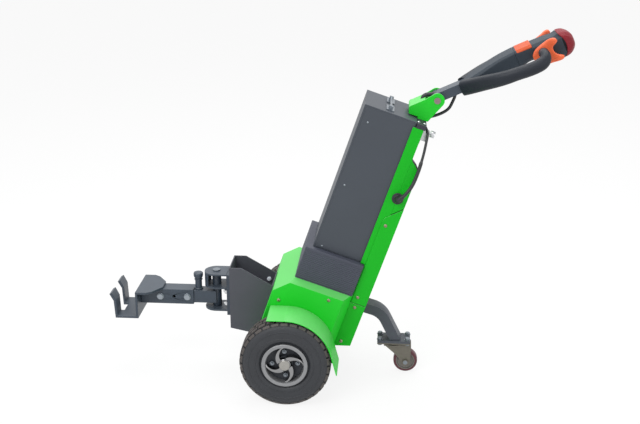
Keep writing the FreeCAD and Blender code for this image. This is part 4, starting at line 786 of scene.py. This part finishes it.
def wing_patch(side):
    """Thumb control: a fat band bent in a C, from the upper horn round the axle to the lower
    one.  Rung u of the ladder joins a point of the outer line with one of the inner line; round
    it goes an oval of power n: along the rung cos a, across the wing sin a, each as
    sign x |.|^(2/n), with n = 2.1 + 0.08 x half rung.  The ends close as (e (2 - e))^0.5, with
    e going from 0 to 1 along WING_END, and the horns flare from the head: middle = WING_Y +
    WING_FLARE f^2 (3 - 2f), with f going from 0 to 1 along FLARE_RUN."""
    outer = [(367.8, 34.5), (363.4, 42.6), (352, 44.4), (337, 40.6), (320, 35.4), (305.5, 29.4),
             (295.5, 21), (291.3, 11), (294, -3.5), (303, -14.5), (318, -21), (336, -23.2),
             (354, -23), (366.5, -20.6), (371, -15)]
    inner = [(366.8, 31.5), (361.5, 27.6), (357, 25), (353.6, 22.6), (351.4, 20), (350.2, 17.2),
             (349.6, 14.2), (349.6, 10.8), (350, 7.4), (351, 3.8), (352.8, 0.4), (355.6, -2.7),
             (359.6, -5.6), (365, -8.6), (370.6, -12)]
    outer, inner = smooth_line(outer, RUNGS), smooth_line(inner, RUNGS)
    u = np.linspace(0, 1, RUNGS)
    e = np.clip(np.minimum(u, 1 - u) / WING_END, 0.03, 1)
    ends = np.sqrt(e * (2 - e))[:, None]
    half = (outer - inner) / 2
    n = 2.1 + 0.08 * np.linalg.norm(half, axis=1)[:, None]
    a = np.linspace(0, 2 * np.pi, 56, endpoint=False)[None, :]
    c, d = np.cos(a), np.sin(a)
    c = np.sign(c) * np.abs(c) ** (2 / n)
    d = np.sign(d) * np.abs(d) ** (2 / n)
    flat = ((outer + inner) / 2)[:, None] + half[:, None] * c[..., None]
    f = np.clip((flat[..., 0] - FLARE_FROM) / FLARE_RUN, 0, 1)
    y = WING_Y + WING_FLARE * f ** 2 * (3 - 2 * f) + d * ends * (WING_HALF + f)
    return grid(tilted(np.stack([flat[..., 0], side * y, flat[..., 1]], -1)), around=True,
                first=True, last=True)


piece("thumb_wings", [wing_patch(side) for side in SIDES.values()], ORANGE, "tiller",
      ["butterflies"], crease=40)


GRIP_TALL, GRIP_WIDE = 18.5, 17.0    # half sizes of the loop's section
ROOT_EXTRA = 3.5                     # the loop is this much taller at the neck
STRAIGHT_FROM, ROOT_RUN = 230.0, 138.0    # along the tiller
ELBOW_FROM, ELBOW_RUN = 8.0, 3.6     # along the loop, counted in the points of its route


def grip_patch(side):
    """Hand loop: an oval ring carried round a smooth plan line from the neck out along the side
    and back in to the axle.  Half height = GRIP_TALL + ROOT_EXTRA x (share left to the straight
    part), where it is squarer too, and both half sizes fall to the axle's radius in the elbow:
    size = radius + (size - radius) x (1 - f)^2 (1 + 2f) with f the share of the elbow passed."""
    route = [(84, 20, 1), (110, 45, 1.6), (145, 76, 2.4), (178, 101, 2), (206, 113.5, 1),
             (235, 118, 0), (262, 118, -2.4), (284, 117.6, -3), (300, 116, -2), (312, 112.5, 1),
             (319.5, 106.5, 6.5), (322, 98, 12.5), (322, 92, 14), (322, 86, 14)]
    steps = 8
    line = smooth_line(route, (len(route) - 1) * steps + 1)
    ahead = unit(np.gradient(line, axis=0))
    up = unit(np.array([0.0, 0.0, 1.0]) - ahead * ahead[:, 2:3])
    across = np.cross(ahead, up)
    left = np.clip((STRAIGHT_FROM - line[:, 0]) / ROOT_RUN, 0, 1)[:, None]
    passed = np.clip((np.arange(len(line)) / steps - ELBOW_FROM) / ELBOW_RUN, 0, 1)[:, None]
    ease = (1 - passed) ** 2 * (1 + 2 * passed)
    tall = STUB_R + (GRIP_TALL + ROOT_EXTRA * left - STUB_R) * ease
    wide = STUB_R + (GRIP_WIDE - STUB_R) * ease
    square = 2.0 + 1.6 * left
    a = np.linspace(0, 2 * np.pi, 40, endpoint=False)[None, :]
    c, d = np.cos(a), np.sin(a)
    off_w = wide * np.sign(c) * np.abs(c) ** (2 / square)
    off_t = tall * np.sign(d) * np.abs(d) ** (2 / square)
    points = line[:, None] + off_w[..., None] * across[:, None] + off_t[..., None] * up[:, None]
    points[..., 1] *= side
    return grid(tilted(points), around=True, first=True, last=True)


piece("grip_loops", [grip_patch(side) for side in SIDES.values()], GRIP, "tiller",
      ["hand_grips"], crease=40)


# ---------------------------------------- cables
def route_line(points):
    """Points along the smooth line that the route's corners pull on: a spline of order 3 that
    starts and ends on the route."""
    curve = bpy.data.curves.new("route", "CURVE")
    curve.dimensions = "3D"
    curve.resolution_u = 10
    spline = curve.splines.new("NURBS")
    spline.points.add(len(points) - 1)
    spline.points.foreach_set("co", np.c_[world(points), np.ones(len(points))].ravel())
    spline.order_u = 3
    spline.use_endpoint_u = True
    thing = bpy.data.objects.new("route", curve)
    bpy.context.scene.collection.objects.link(thing)
    mesh = bpy.data.meshes.new_from_object(thing)
    line = np.zeros(len(mesh.vertices) * 3)
    mesh.vertices.foreach_get("co", line)
    bpy.data.objects.remove(thing)
    bpy.data.meshes.remove(mesh)
    return (line.reshape(-1, 3) - np.array([AXLE_X, 0, 0])) / MM


def hose(line, radius, guide, count=20):
    """Round sheath along a line: rings square to it, set out from a guide direction that the
    line never runs along.  radius may be one value or one for each point."""
    ahead = unit(np.gradient(line, axis=0))
    one = unit(np.cross(ahead, np.asarray(guide, float)))
    two = np.cross(ahead, one)
    a = np.linspace(0, 2 * np.pi, count, endpoint=False)[None, :, None]
    radius = np.broadcast_to(radius, len(line))[:, None, None]
    points = line[:, None] + radius * (np.cos(a) * one[:, None] + np.sin(a) * two[:, None])
    return grid(points, around=True, first=True, last=True)


EAR_TRIM = [(103.4, 798.6), (119.5, 786.8), (128.8, 775.6), (132.9, 753.2), (133.6, 735),
            (130.4, 735), (129.8, 752.6), (126.0, 773.6), (117.4, 783.6), (104.6, 793.4)]
piece("ear_edge_trim", [slab(EAR_TRIM, -103.7, -92.8, leaned)], EPDM, "chassis",
      bevel=0.5)
COLUMN_ROUTE = [(104, -111, 674), (104, -124, 674), (109, -131, 685), (118, -132, 701),
                (128, -127, 730), (130, -119, 774), (127.5, -109, 822), (122, -97, 862),
                (118, -84, 888), (101, -78, 899)]
column_line = route_line(leaned(COLUMN_ROUTE))
run = np.concatenate([[0], np.cumsum(np.linalg.norm(np.diff(column_line, axis=0), axis=1))])
# The lower part runs in a thicker sleeve
column_radius = np.interp(run, [0, 146, 150, 999], [5.4, 5.4, 3.9, 3.9])
piece("column_cable_sheath", [hose(column_line, column_radius, leaned([0.8, 0.45, 0.4]))], SHEATH,
      "chassis", ["column_cable"])
# The strain relief: a ringed taper along the cable's first RELIEF mm
RELIEF = 34
steps = np.arange(len(run))
stem = np.interp(np.linspace(0, RELIEF, RELIEF + 1), run, steps)
relief_line = np.stack([np.interp(stem, steps, column_line[:, k]) for k in range(3)], -1)
relief_radius = np.linspace(8.6, 6.0, RELIEF + 1) + 0.5 * (np.arange(RELIEF + 1) % 4 < 2)
piece("cable_strain_relief", [hose(relief_line, relief_radius, leaned([0.8, 0.45, 0.4]), 28)],
      EPDM, "chassis", crease=60)
gland = [(103, 0), (103, 17.0), (105.8, 17.0), (107, 15.8), (107.6, 12.6), (110.2, 11.6),
         (111, 10.4), (111, 0)]
gland_place = leaned([104.0, 0.0, 674.0])
piece("gland_body", [turned(gland, gland_place, (0, -1, 0), 48)], EPDM, "chassis",
      ["cable_gland"], crease=30)

start = leaned([102.0, 0, 903.0])
end = tilted([57.0, 0, -5.0])
TILLER_ROUTE = [start, start + (17.5, 0, 2), start + (47.5, 0, 12), start + (70, 0, 26.5),
                start + (79.5, 0, 47.5), start + (86, 0, 64), end]
cable = piece("tiller_cable_sheath", [hose(route_line(TILLER_ROUTE), 4.5, (0, 1, 0))], SHEATH,
              None, ["tiller_cable"])
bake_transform(cable)
BOOT_ROUTE = [tilted([s, 0, t]) for s, t in ((-42, 8), (-38, 17), (-28, 21.5), (-14, 17.5),
                                             (2, 10), (14, 8))]
boot = piece("root_boot", [hose(route_line(BOOT_ROUTE), 6.5, (0, 1, 0))], EPDM, None)
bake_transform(boot)


# ---------------------------------------- floor, light, camera
SEEN_WHITE = 0.86                    # share of plain white in what the eye sees of the floor
ROOM_LIGHT = 0.66                    # strength of the white room on the machine


def seen_by(tree, *kinds):
    """A value that is 1 on rays of these kinds and 0 on others: the largest of their flags."""
    rays = add(tree, "LightPath")
    flag = rays.outputs[kinds[0]]
    for kind in kinds[1:]:
        largest = add(tree, "Math", None, {0: flag, 1: rays.outputs[kind]}, operation="MAXIMUM")
        flag = largest.outputs[0]
    return flag


def floor():
    """A wide plain floor.  It is pale paint that the camera, a mirror or glass sees as nearly
    white; the shadow stays in it."""
    mesh = bpy.data.meshes.new("floor")
    mesh.from_pydata([(-20, -20, 0), (20, -20, 0), (20, 30, 0), (-20, 30, 0)], [], [(0, 1, 2, 3)])
    made = bpy.data.objects.new("floor", mesh)
    bpy.context.scene.collection.objects.link(made)
    paint = bpy.data.materials.new("pale floor paint")
    paint.use_nodes = True
    tree = paint.node_tree
    plain = tree.nodes["Principled BSDF"]
    plain.inputs["Base Color"].default_value = linear("#F0F0F0")
    plain.inputs["Roughness"].default_value = 0.9
    seen = seen_by(tree, "Is Camera Ray", "Is Glossy Ray", "Is Transmission Ray")
    share = add(tree, "Math", {1: SEEN_WHITE}, {0: seen}, operation="MULTIPLY")
    glow = add(tree, "Emission", {"Color": (1, 1, 1, 1), "Strength": 1.0})
    mix = add(tree, "MixShader", None,
              {0: share.outputs[0], 1: plain.outputs["BSDF"], 2: glow.outputs["Emission"]})
    tree.links.new(mix.outputs[0], tree.nodes["Material Output"].inputs["Surface"])
    mesh.materials.append(paint)


def lamp(name, place, target, width, power):
    """A square soft light that points at the target."""
    light = bpy.data.lights.new(name, "AREA")
    light.shape = "SQUARE"
    light.size = width
    light.energy = power
    made = bpy.data.objects.new(name, light)
    made.location = place
    made.rotation_euler = (Vector(target) - Vector(place)).to_track_quat("-Z", "Y").to_euler()
    bpy.context.scene.collection.objects.link(made)


floor()
lamp("key light", (-1.6, -2.2, 3.2), (0, 0, 0.4), 2.2, 70)
lamp("fill light", (2.6, -2.4, 1.8), (0, 0, 0.4), 2.4, 14)
lamp("top light", (0.2, 0.9, 3.4), (0, 0, 0.3), 2.8, 70)
sky = bpy.data.worlds.new("white room")
sky.use_nodes = True
back = sky.node_tree.nodes["Background"]
back.inputs["Color"].default_value = (1, 1, 1, 1)
strength = add(sky.node_tree, "MapRange", {"To Min": ROOM_LIGHT, "To Max": 1.0},
               {"Value": seen_by(sky.node_tree, "Is Camera Ray", "Is Glossy Ray")})
sky.node_tree.links.new(strength.outputs["Result"], back.inputs["Strength"])
bpy.context.scene.world = sky

EYE = np.array([305.731, -3001.811, 1551.860])    # where the camera stands
TURN, DROP = 0.0734552, 0.3298747    # radians: off square to the side, and down
LENS, SENSOR = 59.056875, 36.0       # focal length and sensor width
right = Vector((math.cos(TURN), math.sin(TURN), 0))
ahead = Vector((-math.sin(TURN) * math.cos(DROP), math.cos(TURN) * math.cos(DROP),
                -math.sin(DROP)))
above = right.cross(ahead)
lens = bpy.data.cameras.new("camera")
lens.sensor_width = SENSOR
lens.lens = LENS
camera = bpy.data.objects.new("camera", lens)
facing = Matrix((right, above, -ahead)).transposed().to_4x4()
camera.matrix_world = Matrix.Translation(world(EYE)) @ facing
bpy.context.scene.collection.objects.link(camera)
bpy.context.scene.camera = camera
bpy.context.scene.view_settings.view_transform = "Standard"
